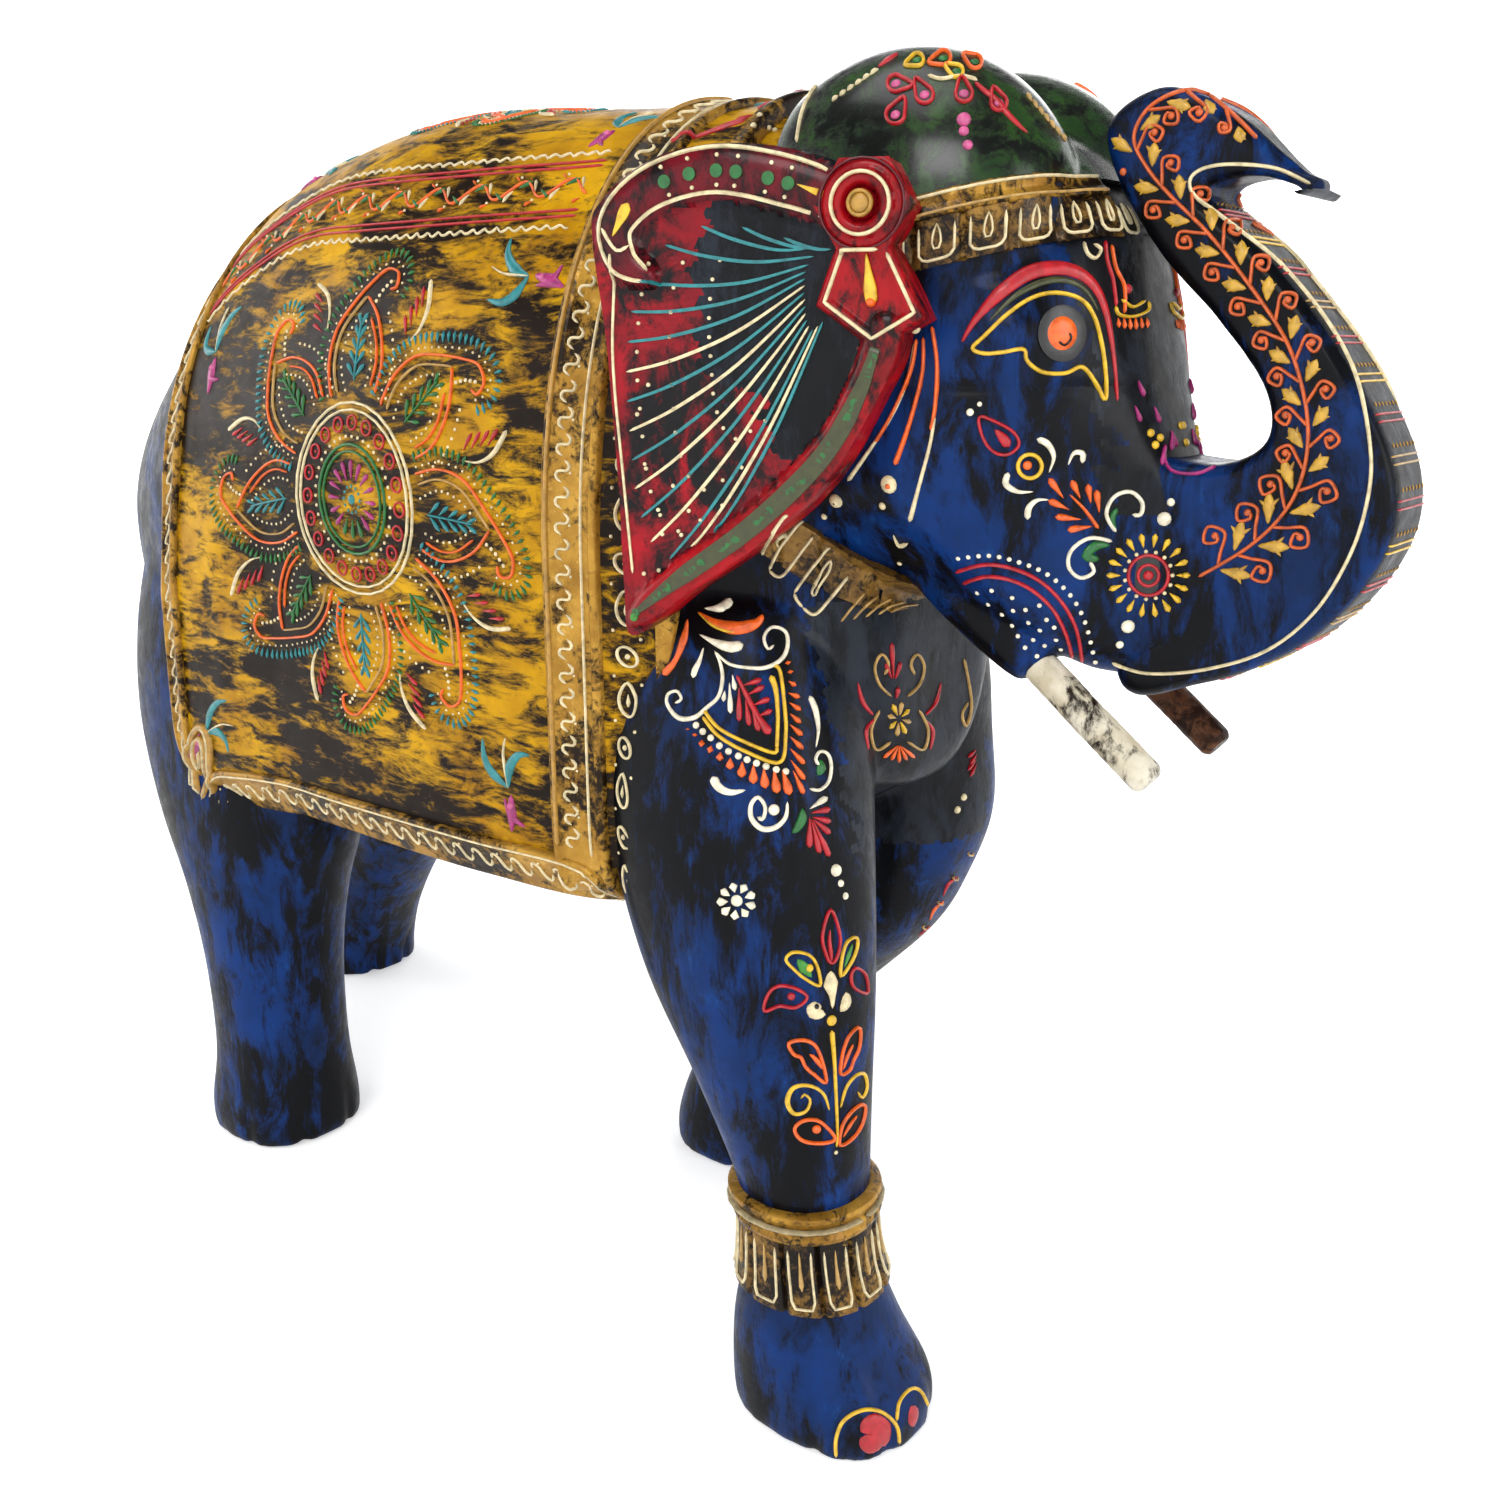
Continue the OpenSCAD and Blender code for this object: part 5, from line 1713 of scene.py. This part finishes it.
# toenails
toe_pen = Pen(view, "legs", True, lambda p: np.asarray(p, float) / 2.0907 + [750, 750])
toe_pen.line("yellow", [(180, 1478), (180, 1440), (196, 1402), (235, 1380), (275, 1384), (306, 1412),
                        (312, 1450)], 1.5)
toe_pen.line("red", [(232, 1425), (255, 1412), (280, 1430), (282, 1455)], [3, 6.5, 6.5, 3], .5)
toe_pen.line("red", [(230, 1440), (255, 1450), (280, 1450)], [4, 6.5, 4], .5)
toe_pen.line("yellow", [(306, 1402), (312, 1362), (335, 1336), (356, 1340), (372, 1372)], 1.4)
toe_pen.line("red", [(336, 1372), (342, 1392), (342, 1414)], [3, 5.5, 3], .5)

# ---- Cap ----
cap_pen = QPen(1, 0, "cap")
for cx, cy, tx, ty, r in ((305, 175, 345, 178, 3.4), (365, 198, 350, 172, 3.6), (304, 240, 322, 205, 3.8),
                          (447, 196, 442, 165, 3.4), (520, 215, 508, 185, 3.2), (404, 122, 385, 128, 3.0),
                          (350, 126, 330, 134, 2.6), (470, 130, 452, 118, 2.8), (432, 150, 415, 140, 2.6)):
    col = "red" if cy > 150 else ("orange" if cx in (404, 470) else "yellow")
    t_ = np.array([tx, ty], float) - [cx, cy]
    L_ = np.linalg.norm(t_)
    t_ /= L_
    n_ = np.array([-t_[1], t_[0]])
    R_ = r * 6.4
    aa_ = np.radians(np.linspace(60, 300, 11))
    pts = [np.array([cx, cy]) + t_ * R_ * 1.7] + [np.array([cx, cy]) + R_ * .8 * (np.cos(q) * t_
            + np.sin(q) * n_) for q in aa_]
    cap_pen.line(col, pts, 1.2, .8, closed=True)
    cap_pen.dot("pink" if cy > 150 else "green", [(cx, cy)], 1.2, .6)
cap_pen.line("red", [(470, 172), (490, 190), (515, 210), (540, 240), (565, 265), (580, 278)],
             [1.2, 1.8, 2.2, 2.0, 1.6, .6])
for p, r in (((447, 250), 1.7), ((447, 274), 1.2), ((455, 303), 1.2)):
    cap_pen.dot("pink", [p], r)
for i in range(6):
    cap_pen.line("cream", [(172 + 16 * i, 212 - 11 * i), (180 + 16 * i, 204 - 11 * i),
                           (184 + 17 * i, 200 - 11 * i)], 1.5)
cap_pen.line("red", [(268, 140), (290, 125), (310, 112)], [.8, 2.4, 1.0])
cap_pen.line("cream", [(372, 158), (400, 166), (440, 160), (475, 168)], 1.0)
for i in range(7):
    cap_pen.line("sand", [(578 + 12 * i, 195 + 14 * i), (588 + 12 * i, 212 + 14 * i)], 1.2, smooth=False)
cap_pen.line("cream", [(152, 165), (128, 195), (108, 240), (98, 298)], 1.1)
cap_pen.dot("cream", [(40, 268), (20, 240), (52, 272), (8, 262)], .8)

# ---- Ears ----


def ear_fn(uv):
    return in_ear(uv[:, 0], uv[:, 1], ear_height(np.asarray(uv)), 1)


ear_pen = Pen(Grid(ear_fn, 1.0, 7), "ear")
root = np.array([-4, 322.0])
for i, (tu, tv) in enumerate([(12, 325), (22, 327.5), (32, 328), (41, 324), (47, 316), (50, 309),
                              (51, 302), (51.5, 295), (51.5, 288), (51, 281), (50.5, 274), (50, 267),
                              (48.5, 260), (46, 254), (41, 250), (35, 253), (29, 257)]):
    tip = np.array([tu, tv], float)
    d = tip - root
    L = np.linalg.norm(d)
    sag = np.array([0, -1.0]) * L * .07
    c = "teal" if i % 2 == 0 or i < 7 else "cream"
    a0 = .2 if i > 2 else .3
    p = [root + d * a0 + sag * .5, root + d * .5 + sag, root + d * .78 + sag * .7, tip]
    ear_pen.line(c, p, [.6, 1.0, 1.1, .8], .6)
    if i > 3:
        q = root + (np.array([tu, tv + 3.5]) - root) * np.array([[.62], [.8], [.95]])
        ear_pen.dot("cream", q, .45)
for q in ((40, 268), (44, 262), (47, 272), (36, 262), (49, 285), (46, 292), (43, 256), (38, 256),
          (48, 246), (44, 247)):
    ear_pen.dot("cream", [q], .5)
# top roll: cream outline, green beads, yellow drops
top_mid = cr([[-4, 331], [8, 336], [27, 339.8], [43, 336.5], [52, 329], [51, 321], [45, 317]], 8)
tn = np.gradient(top_mid, axis=0)
tn /= np.linalg.norm(tn, axis=1)[:, None]
tn = np.stack([-tn[:, 1], tn[:, 0]], -1)
kk = np.interp(np.linspace(0, 1, len(top_mid)), [0, .2, .6, .85, 1], [4.6, 5.2, 4.4, 3.4, 1.2])[:, None]
ear_pen.line("cream", top_mid[3:] + tn[3:] * kk[3:], 1.1, smooth=False)
ear_pen.line("cream", top_mid[4:] - tn[4:] * kk[4:] * .95, 1.1, smooth=False)
for i in range(6):
    m_ = top_mid[int(9 + i * 2.6)]
    ear_pen.dot("green", [m_ + [0, -.3]], 1.5, .9)
    ear_pen.dot("cream", [m_ + tn[int(9 + i * 2.6)] * 3.0], .45)
    ear_pen.dot("cream", [m_ - tn[int(9 + i * 2.6)] * 3.2], .45)
ear_pen.drop("yellow", top_mid[8], top_mid[4], 2.2)
ear_pen.drop("yellow", top_mid[35], top_mid[28], 2.6)
ear_pen.line("cream", [top_mid[36] + [3, 3], top_mid[38], top_mid[36] - [3.5, 1]], 1.0)
# lower roll: olive stripe with green drops
low_mid = cr([[50, 235], [38, 244.5], [18, 259], [1, 275.5], [-8, 291], [-12.5, 305]], 10)
ln = np.gradient(low_mid, axis=0)
ln /= np.linalg.norm(ln, axis=1)[:, None]
ln = np.stack([-ln[:, 1], ln[:, 0]], -1)
ear_pen.line("olive", low_mid[1:-3] + ln[1:-3] * -.6, [1.2, 4.4, 4.8, 4.8, 4.4, 2.0], .22, smooth=False)
q, _ = resample(low_mid[2:-2], 5.2)
for i in range(len(q) - 1):
    if i % 2:
        ear_pen.drop("green", q[i] + (q[i + 1] - q[i]) * .95 - ln[5] * .6, q[i] - ln[5] * .6, 2.3, .9)
    else:
        ear_pen.dot("green", [q[i] - ln[5] * .6, ], 1.1)
ear_pen.dot("lime", [low_mid[1]], 1.0)
ear_pen.line("cream", [(53.5, 322), (55, 300), (53, 270), (51, 246)], .8, .5)

# rosette and tassel
RCx, RCy = RC


def face_fn(h):
    return lambda uv: in_ear(uv[:, 0], uv[:, 1], h, 1)


rosette_pen = Pen(Grid(face_fn(4.5), .8, 9, turn=-1), "rosette")
rosette_pen.ring("cream", (RCx, RCy), 6.6, 1.1)
rosette_pen.ring("gold", (RCx, RCy), 2.6, 1.2)
rosette_pen.dot("gold", [(RCx, RCy)], 2.2, .6)
rosette_pen.ring("maroon", (RCx, RCy), 9.6, .7, .4)
tp_in = TP + (TP.mean(0) - TP) * .2
rosette_pen.line("cream", [tp_in[1] + [1.2, 0], tp_in[0], tp_in[4], tp_in[3], tp_in[2], tp_in[1]
                           + [-.5, -.6]], 1.2, smooth=False)
rosette_pen.drop("yellow", (-8, 321), (-9.5, 310), 3.0, 1.0)
rosette_pen.dot("orange", [(-9.3, 310.6)], 1.1, 1.5)

# ---- Saddle cloth ----


def lay(uv, h):
    return on_body(uv[:, 0], uv[:, 1], h)


class Cloth(Grid):
    """u = x along the body, v = length from the ridge, negative down the right flank"""

    def __init__(self, h, step=.9):
        super().__init__(lambda uv: lay(np.asarray(uv, float), h), step, 5)

    def __call__(self, uv):
        uv = np.asarray(uv, float)
        P = self.fn(uv)
        e = .5
        N = lay(uv, 6.5) - P
        N /= np.linalg.norm(N, axis=1)[:, None] + 1e-9
        oP, oN = [], []
        for p, n in zip(P, N):
            h = hit(p + n * 5, -n, far=9)
            oP.append(h[0] if h else p)
            oN.append(n)
        return np.array(oP), np.array(oN)


cloth = Cloth(2.5)
XC, ZC = -63, 257


def petal(pen, i, leafc, fringec):
    pen.line("orange", [(31.5, 12), (42, 15), (53, 13.5), (62, 6.6), (69, -.5), (73, -6), (72, -11.5),
                        (67.5, -12.5), (66.5, -9.5)], 1.1)
    pen.line("orange", [(34, -10.5), (42, -12.5), (50, -11), (58, -6.5), (64, .5)], 1.1)
    pen.line("sand", [(33, 9), (42, 12), (52, 10.6), (60, 4.5), (64, .6)], .9)
    pen.line("orange", [(36, -8), (43, -9.6), (50, -8.2), (57, -3.6)], .9)
    pen.dots_on("cream", [(34, 5), (42, 8.6), (51, 7.2), (58, 2.6)], 2.6, .45)
    pen.dots_on("cream", [(36, -5.4), (43, -6.8), (50, -5), (56, -1)], 2.6, .45)
    # leaf sprig
    pen.line(leafc, [(37, .6), (57, 1)], [.8, 1.0], .7)
    for k in range(5):
        a = 38 + 4 * k
        for sg in (-1, 1):
            pen.drop(leafc, (a, .8), (a + 4.6, .8 + sg * (4.4 - .55 * k)), 1.7, .8)
    pen.dots_on("cream", [(62.5, -4), (66, -6), (69, -9)], 2.0, .6)
    # fringe of short dashes round the outer side
    edge = cr([(31, 17), (42, 20), (54, 18.5), (65, 11), (73, 3.5), (78, -5), (77.5, -13), (71, -17.5),
               (65, -16)], 8)
    q, _ = resample(edge, 2.5)
    g = np.gradient(q, axis=0)
    g /= np.linalg.norm(g, axis=1)[:, None]
    n = np.stack([-g[:, 1], g[:, 0]], -1)
    for a, nn in zip(q, n):
        pen.drop(fringec, a - nn * 1.6, a + nn * 1.9, 1.5, .75)
    pen.dots_on("cream", edge[::2] - np.stack([-np.gradient(edge[::2], axis=0)[:, 1],
                                               np.gradient(edge[::2], axis=0)[:, 0]],
                                              -1) / np.linalg.norm(np.gradient(edge[::2], axis=0),
            axis=1)[:, None] * 2.9, 2.9, .4)
    q, _ = resample(cr([(33, -16), (43, -17.5), (52, -15.5), (59, -11.5)], 8), 3.0)
    pen.dot("cream", q, .5)


def feather(pen, c1_, c2_):
    pen.comma("cream", [(56, -2.5), (62, -4.5), (69, -3.5), (76, 1.5)], 2.0)
    for k in range(4):
        pen.drop(c2_, (57 + 3.4 * k, .2 - .4 * k), (62 + 3.6 * k, 4.2 - .5 * k), 1.6)


def mandala(pen, c, k=1.0, flat=1.0, petals=8, start=0.0):
    def pl(ang, flip=1):
        base = turn((0, 0), ang, k, flip)

        def fn(p):
            q = base(p)
            return np.stack([c[0] + q[:, 0], c[1] + q[:, 1] * flat], -1)
        return fn
    hub = pen.at(pl(0))
    hub.ring("cream", (0, 0), 30.5, 1.1)
    hub.ring("cream", (0, 0), 28.2, 1.0)
    for i in range(20):
        t = i / 20 * 2 * math.pi
        p = (24.2 * math.cos(t), 24.2 * math.sin(t))
        hub.ring("red", p, 2.3, .9, .6)
        hub.dot("red", [p], .5)
    a = np.arange(40) / 40 * 2 * np.pi
    hub.dot("cream", np.stack([19.8 * np.cos(a), 19.8 * np.sin(a)], -1), .55)
    hub.ring("green", (0, 0), 17.4, 1.2)
    hub.ring("green", (0, 0), 15.2, 1.0)
    for i in range(16):
        t = i / 16 * 2 * math.pi
        hub.drop("green" if 10 < i < 14 else "magenta", (6.4 * math.cos(t), 6.4 * math.sin(t)),
                 (12.6 * math.cos(t), 12.6 * math.sin(t)), 2.0, .8)
    a = np.arange(12) / 12 * 2 * np.pi
    hub.dot("teal", np.stack([4.2 * np.cos(a), 4.2 * np.sin(a)], -1), .5)
    hub.dot("teal", [(0, 0)], 1.5, .9)
    for i in range(petals):
        ang = start + i / petals * 2 * math.pi
        petal(pen.at(pl(ang, 1)), i, ("teal", "green")[i % 2], ("green", "teal")[i % 2])
        feather(pen.at(pl(ang + math.pi / petals)), "cream", "red")


s0 = -arc_at(XC, ZC)
saddle_pen = Pen(cloth, "saddle")
mandala(saddle_pen, (XC, s0), .92, 1.0)


def sprig(pen, c, ang, k=1.0):
    p = pen.at(turn(c, ang, k))
    p.line("teal", [(0, 0), (5, 3.5), (11, 4), (15, 1.5)], [.8, 3.6, 2.6, .6], .8)
    p.line("teal", [(0, 0), (-2, 6), (-1, 11), (3, 15)], [.8, 3.2, 2.4, .6], .8)
    p.line("cream", [(0, 0), (6, 7), (11, 10)], [.6, 1.0, .6])
    p.line("magenta", [(-1, -2), (-6, -6), (-10, -9)], [1.2, 4.2, .6], .9)
    p.line("magenta", [(-4, -1), (-6, -6), (-4, -11)], [.6, 2.6, .6], .9)
    p.dot("pink", [(-3.5, -4)], 1.2, 1.3)


sA, sB = -arc_at(0, 322), -arc_at(0, 170)
sprig(saddle_pen, (0, sA - 4), 2.3)
sprig(saddle_pen, (-2, sB + 8), -2.3 + math.pi)
sprig(saddle_pen, (-142, -arc_at(-142, 300)), .8)
sprig(saddle_pen, (-146, sB + 10), -.8)

# strips along the top of each flank, and a second rosette on the ridge
xs_ = np.arange(-156, 12, 1.0)


def s_line(z, off=0.0):
    return np.array([(x, -arc_at(x, z - .005 * max(0, -92 - x) ** 2) + off) for x in xs_[::3]])


for off in (0, 1.9, 17, 18.9):
    saddle_pen.line("red", s_line(334, off - .5), .95, .6, smooth=False)
low = s_line(334, -2.6)
up = s_line(334, 21)
for base, sg in ((low, -1), (up, 1)):
    pts = []
    for j, (x, s) in enumerate(base[:-1]):
        for t in np.linspace(0, 1, 5)[:-1]:
            xx = x + 3 * t
            pts.append((xx, s + sg * 1.6 * abs(math.sin(math.pi * (xx - base[0][0]) / 4.6))))
    saddle_pen.line("cream", pts, .9, .6, smooth=False)
mid = s_line(334, 9.4)
wave = [(x, s + 2.9 * math.sin((x + 156) / 17 * 2 * math.pi)) for x, s in zip(*resample(mid, 1.0)[0].T)]
saddle_pen.line("orange", wave, 1.05, .65, smooth=False)
for j in range(19):
    x = -150 + j * 8.5
    s = float(np.interp(x, mid[:, 0], mid[:, 1]))
    sg = 1 if j % 2 else -1
    saddle_pen.drop("green", (x - 3.2, s - sg * .4), (x + .8, s - sg * 4.0 + sg * 1.2), 1.9)
    saddle_pen.drop("cream", (x + 3.6, s + sg * .3), (x + 1.8, s - sg * 3.6), 1.2)
    saddle_pen.dot("cream", [(x - 4.4, s - sg * 4.2)], .5)
    saddle_pen.drop("orange", (x + 4.4, s + sg * 3.6), (x + 2.2, s + sg * 5.2), 1.0)

top_pen = Pen(Cloth(2.5), "saddle", both=False)
mandala(top_pen, (-70, 0.001), .62, .66, 8, math.pi / 8)
for sg in (-1, 1):
    sprig(top_pen, (2, sg * 34), math.pi / 2 + sg * 1.1, .8)
    sprig(top_pen, (-134, sg * 34), sg * .7, .8)

# front cloth over the neck: half rosette
for i in range(9):
    t = math.pi * (.5 + (i - 4) / 9)
    top_pen.drop("red", (42 + 6 * math.cos(math.pi - t) * -1, 8 * math.sin(t) * 0 + (i - 4) * 2.0),
                 (42 - 7 * math.sin(t), (i - 4) * 5.0), 1.8)
for sg in (-1, 1):
    top_pen.line("teal", [(44, sg * 4), (38, sg * 10), (33, sg * 12)], [.8, 2.6, .6])
    for k in range(6):
        top_pen.drop("red", (43, sg * (24 + k)), (43 - 3.2 * k, sg * (24 + 5 * k - k * k * .3)), 1.6)
    top_pen.dots_on("cream", [(44, sg * 48), (38, sg * 56), (36, sg * 66)], 3.2, .6)

# front panel: circles and drops
for j in range(11):
    z = 158 + j * 12.5
    if z > 300:
        break
    s = -arc_at(39, z)
    if j % 2:
        saddle_pen.ring("cream", (38.5, s), 2.6, 1.0)
        saddle_pen.dot("cream", [(38.5, s)], .8)
    else:
        saddle_pen.line("cream", [(38.5, s + 5.4), (36.2, s + 1), (36.6, s - 2.6), (38.5, s - 4),
                                  (40.4, s - 2.6), (40.8, s + 1)], 1.0, .7, closed=True)
        saddle_pen.drop("cream", (38.5, s + 2.2), (38.5, s - 1.4), 1.5)
    for dx in (-3.6, 3.4):
        saddle_pen.dot("cream", [(38.5 + dx, s + 6.0)], .5)

# borders: white chains of S scrolls
edge_pen = Pen(Cloth(4.5), "border")


def chain(pen, line, colour="cream", pitch=6.4, amp=1.9, w=.95):
    q, _ = resample(line, pitch)
    for i in range(len(q) - 1):
        d = q[i + 1] - q[i]
        n = np.array([-d[1], d[0]]) / np.linalg.norm(d)
        pen.line(colour, [q[i] + d * .08 + n * amp * .2, q[i] + d * .22 + n * amp, q[i] + d * .45
                          + n * amp * .7, q[i] + d * .55 - n * amp * .7, q[i] + d * .8 - n * amp, q[i]
                          + d * .95 - n * amp * .1], w, .65)
        if i % 2:
            pen.dot(colour, [q[i] + d * .5 + n * amp * 1.1], .42)


low_edge = np.array([(x, -arc_at(x, 150) + 7.4) for x in np.arange(-162, 48, 6.0)])
chain(edge_pen, low_edge, amp=2.3, pitch=8)
edge_pen.line("cream", low_edge + [0, 5.2], .8, .5, smooth=False)
rear = np.array([(-162.5, -s) for s in np.linspace(2, arc_at(-162, 164), 60)])
chain(edge_pen, rear, amp=1.8)
gird = np.array([(21.5, -s) for s in np.linspace(2, arc_at(22, 164), 60)])
chain(edge_pen, gird, amp=2.0, pitch=6.6, w=1.05)
edge_pen.line("cream", gird + [5.6, 0], .9, .6, smooth=False)
edge_pen.line("gold", gird + [-4.6, 0], 1.6, .5, smooth=False)
# carved volute where the rear border meets the lower one
vx, vs = -153, -arc_at(-153, 168)
t = np.linspace(0, 1, 60)
rad = 9.5 * (1 - .82 * t)
edge_pen.line("gold", np.stack([vx + rad * np.cos(-1.6 + t * 4.6 * math.pi), vs
                                + rad * np.sin(-1.6 + t * 4.6 * math.pi)], -1), [3.2, 3.0, 2.6, 2.2, 1.8],
              1.8, smooth=False)
edge_pen.line("cream", np.stack([vx + rad * np.cos(-1.6 + t * 4.6 * math.pi), vs
                                 + rad * np.sin(-1.6 + t * 4.6 * math.pi)], -1), .8, 2.3, smooth=False)

# ---- Rim, brow plates, collar ----


class Brow:
    """u = bearing round the brow in degrees from straight ahead, v = height above the brow plane"""
    step = 1.4
    jump = 9
    reach = 90

    def __call__(self, uv):
        P, N = [], []
        for a, h in np.asarray(uv, float):
            ca, sa = math.cos(math.radians(a)), math.sin(math.radians(a))
            x, y = 100 + self.reach * ca, self.reach * sa
            z = BROW_AT[1] + (x - BROW_AT[0]) * BROW_TAN + h
            d = np.array([-ca, -sa, -ca * BROW_TAN])
            d /= np.linalg.norm(d)
            r = BROW_TREE.ray_cast(Vector((x, y, z)), Vector(tuple(d)), 200)
            if r[0] is not None:
                n = np.array(r[1])
                if n @ d > 0:
                    n = -n
                P.append(np.array(r[0]))
                N.append(n)
        return np.array(P), np.array(N)


BROW_TREE = tree(named("crown", "face", "cap_rim_c", "brow_plates_c", "skull_cap_c"))
brow = Brow()


brow_pen = Pen(brow, "brow")
for k in range(8):
    a0 = -PLATE_STEP * (k + .5)
    if a0 < -92:
        break
    a1, a2 = a0 - PLATE_STEP / 2 + 2.0, a0 + PLATE_STEP / 2 - 2.0
    brow_pen.line("cream", [(a1, -1.6), (a1, -7.8), (a1 + 1.4, -9), (a2 - 1.4, -9), (a2, -7.8),
                            (a2, -1.6)], .95, .6, smooth=False)
    brow_pen.line("cream", [((a1 + a2) / 2, -1.4), (a0 - 1.1, -4.4), (a0 - .9, -6.2), (a0, -6.9),
                            (a0 + .9, -6.2), (a0 + 1.1, -4.4)], .75, .55, closed=True)
brow_pen.line("sand", [(a, 1.2) for a in range(-94, -14, 3)], .9, .5, smooth=False)
brow_pen.line("cream", [(a, 5.0) for a in range(-94, -14, 3)], .9, .6, smooth=False)

# collar: cream frames and drops, by the view on the near flank
collar_pen = QPen(1, 0, "collar")
for pts in ([(25, 1160), (35, 1135), (68, 1085), (80, 1078)], [(40, 1192), (60, 1150), (98, 1100),
        (112, 1090)], [(40, 1192), (55, 1205), (72, 1200), (110, 1150), (132, 1122)],
        [(110, 1270), (135, 1285), (165, 1255), (205, 1205)], [(92, 1240), (120, 1200), (160, 1150),
        (168, 1145)], [(110, 1270), (98, 1255), (92, 1240)]):
    collar_pen.line("cream", pts, 1.2, .7)
collar_pen.line("cream", [(130, 1235), (150, 1195), (168, 1172), (165, 1195), (145, 1225), (135, 1245)],
                1.0, .7, closed=True)
collar_pen.comma("cream", [(62, 1150), (55, 1130), (72, 1118), (78, 1132)], 1.6)
for i in range(5):
    collar_pen.line("sand", [(190 + 26 * i, 1300 - 5 * i), (215 + 26 * i, 1268),
                             (240 + 28 * i, 1240 + 6 * i)], .9, .5)

# ---- Anklets ----


def leg_fn(key, h):
    def fn(uv):
        return on_leg(key, uv[:, 1], np.radians(uv[:, 0]), h)
    return fn


for key in ("front_right", "front_left"):
    lp = Pen(Grid(leg_fn(key, 3), .9, 5), "anklet", both=False)
    lp.s.step = 1.6
    full = np.arange(0, 360, 5.0)
    lp.line("cream", np.stack([full, np.full(72, 66.6)], -1), 1.4, 1.1, closed=True, smooth=False)
    for k in range(12):
        a = k * 30 + 15 - 15
        lp.line("cream", [(a - 9.5, 60), (a - 9, 45.5), (a - 6.5, 43.4), (a + 6.5, 43.4), (a + 9, 45.5),
                          (a + 9.5, 60)], 1.0, .6, smooth=False)
        lp.line("sand", [(a, 60), (a, 54), (a, 48.5)], [.5, 1.2, 2.4], .9, smooth=False)

for (group, colour), parts in PAINT.items():
    piece("paint_%s_%s" % (group, colour), mesh_from("paint", *merge(parts)), M["bead_" + colour], angle=60)

# ------------------------------------------------------------------ done

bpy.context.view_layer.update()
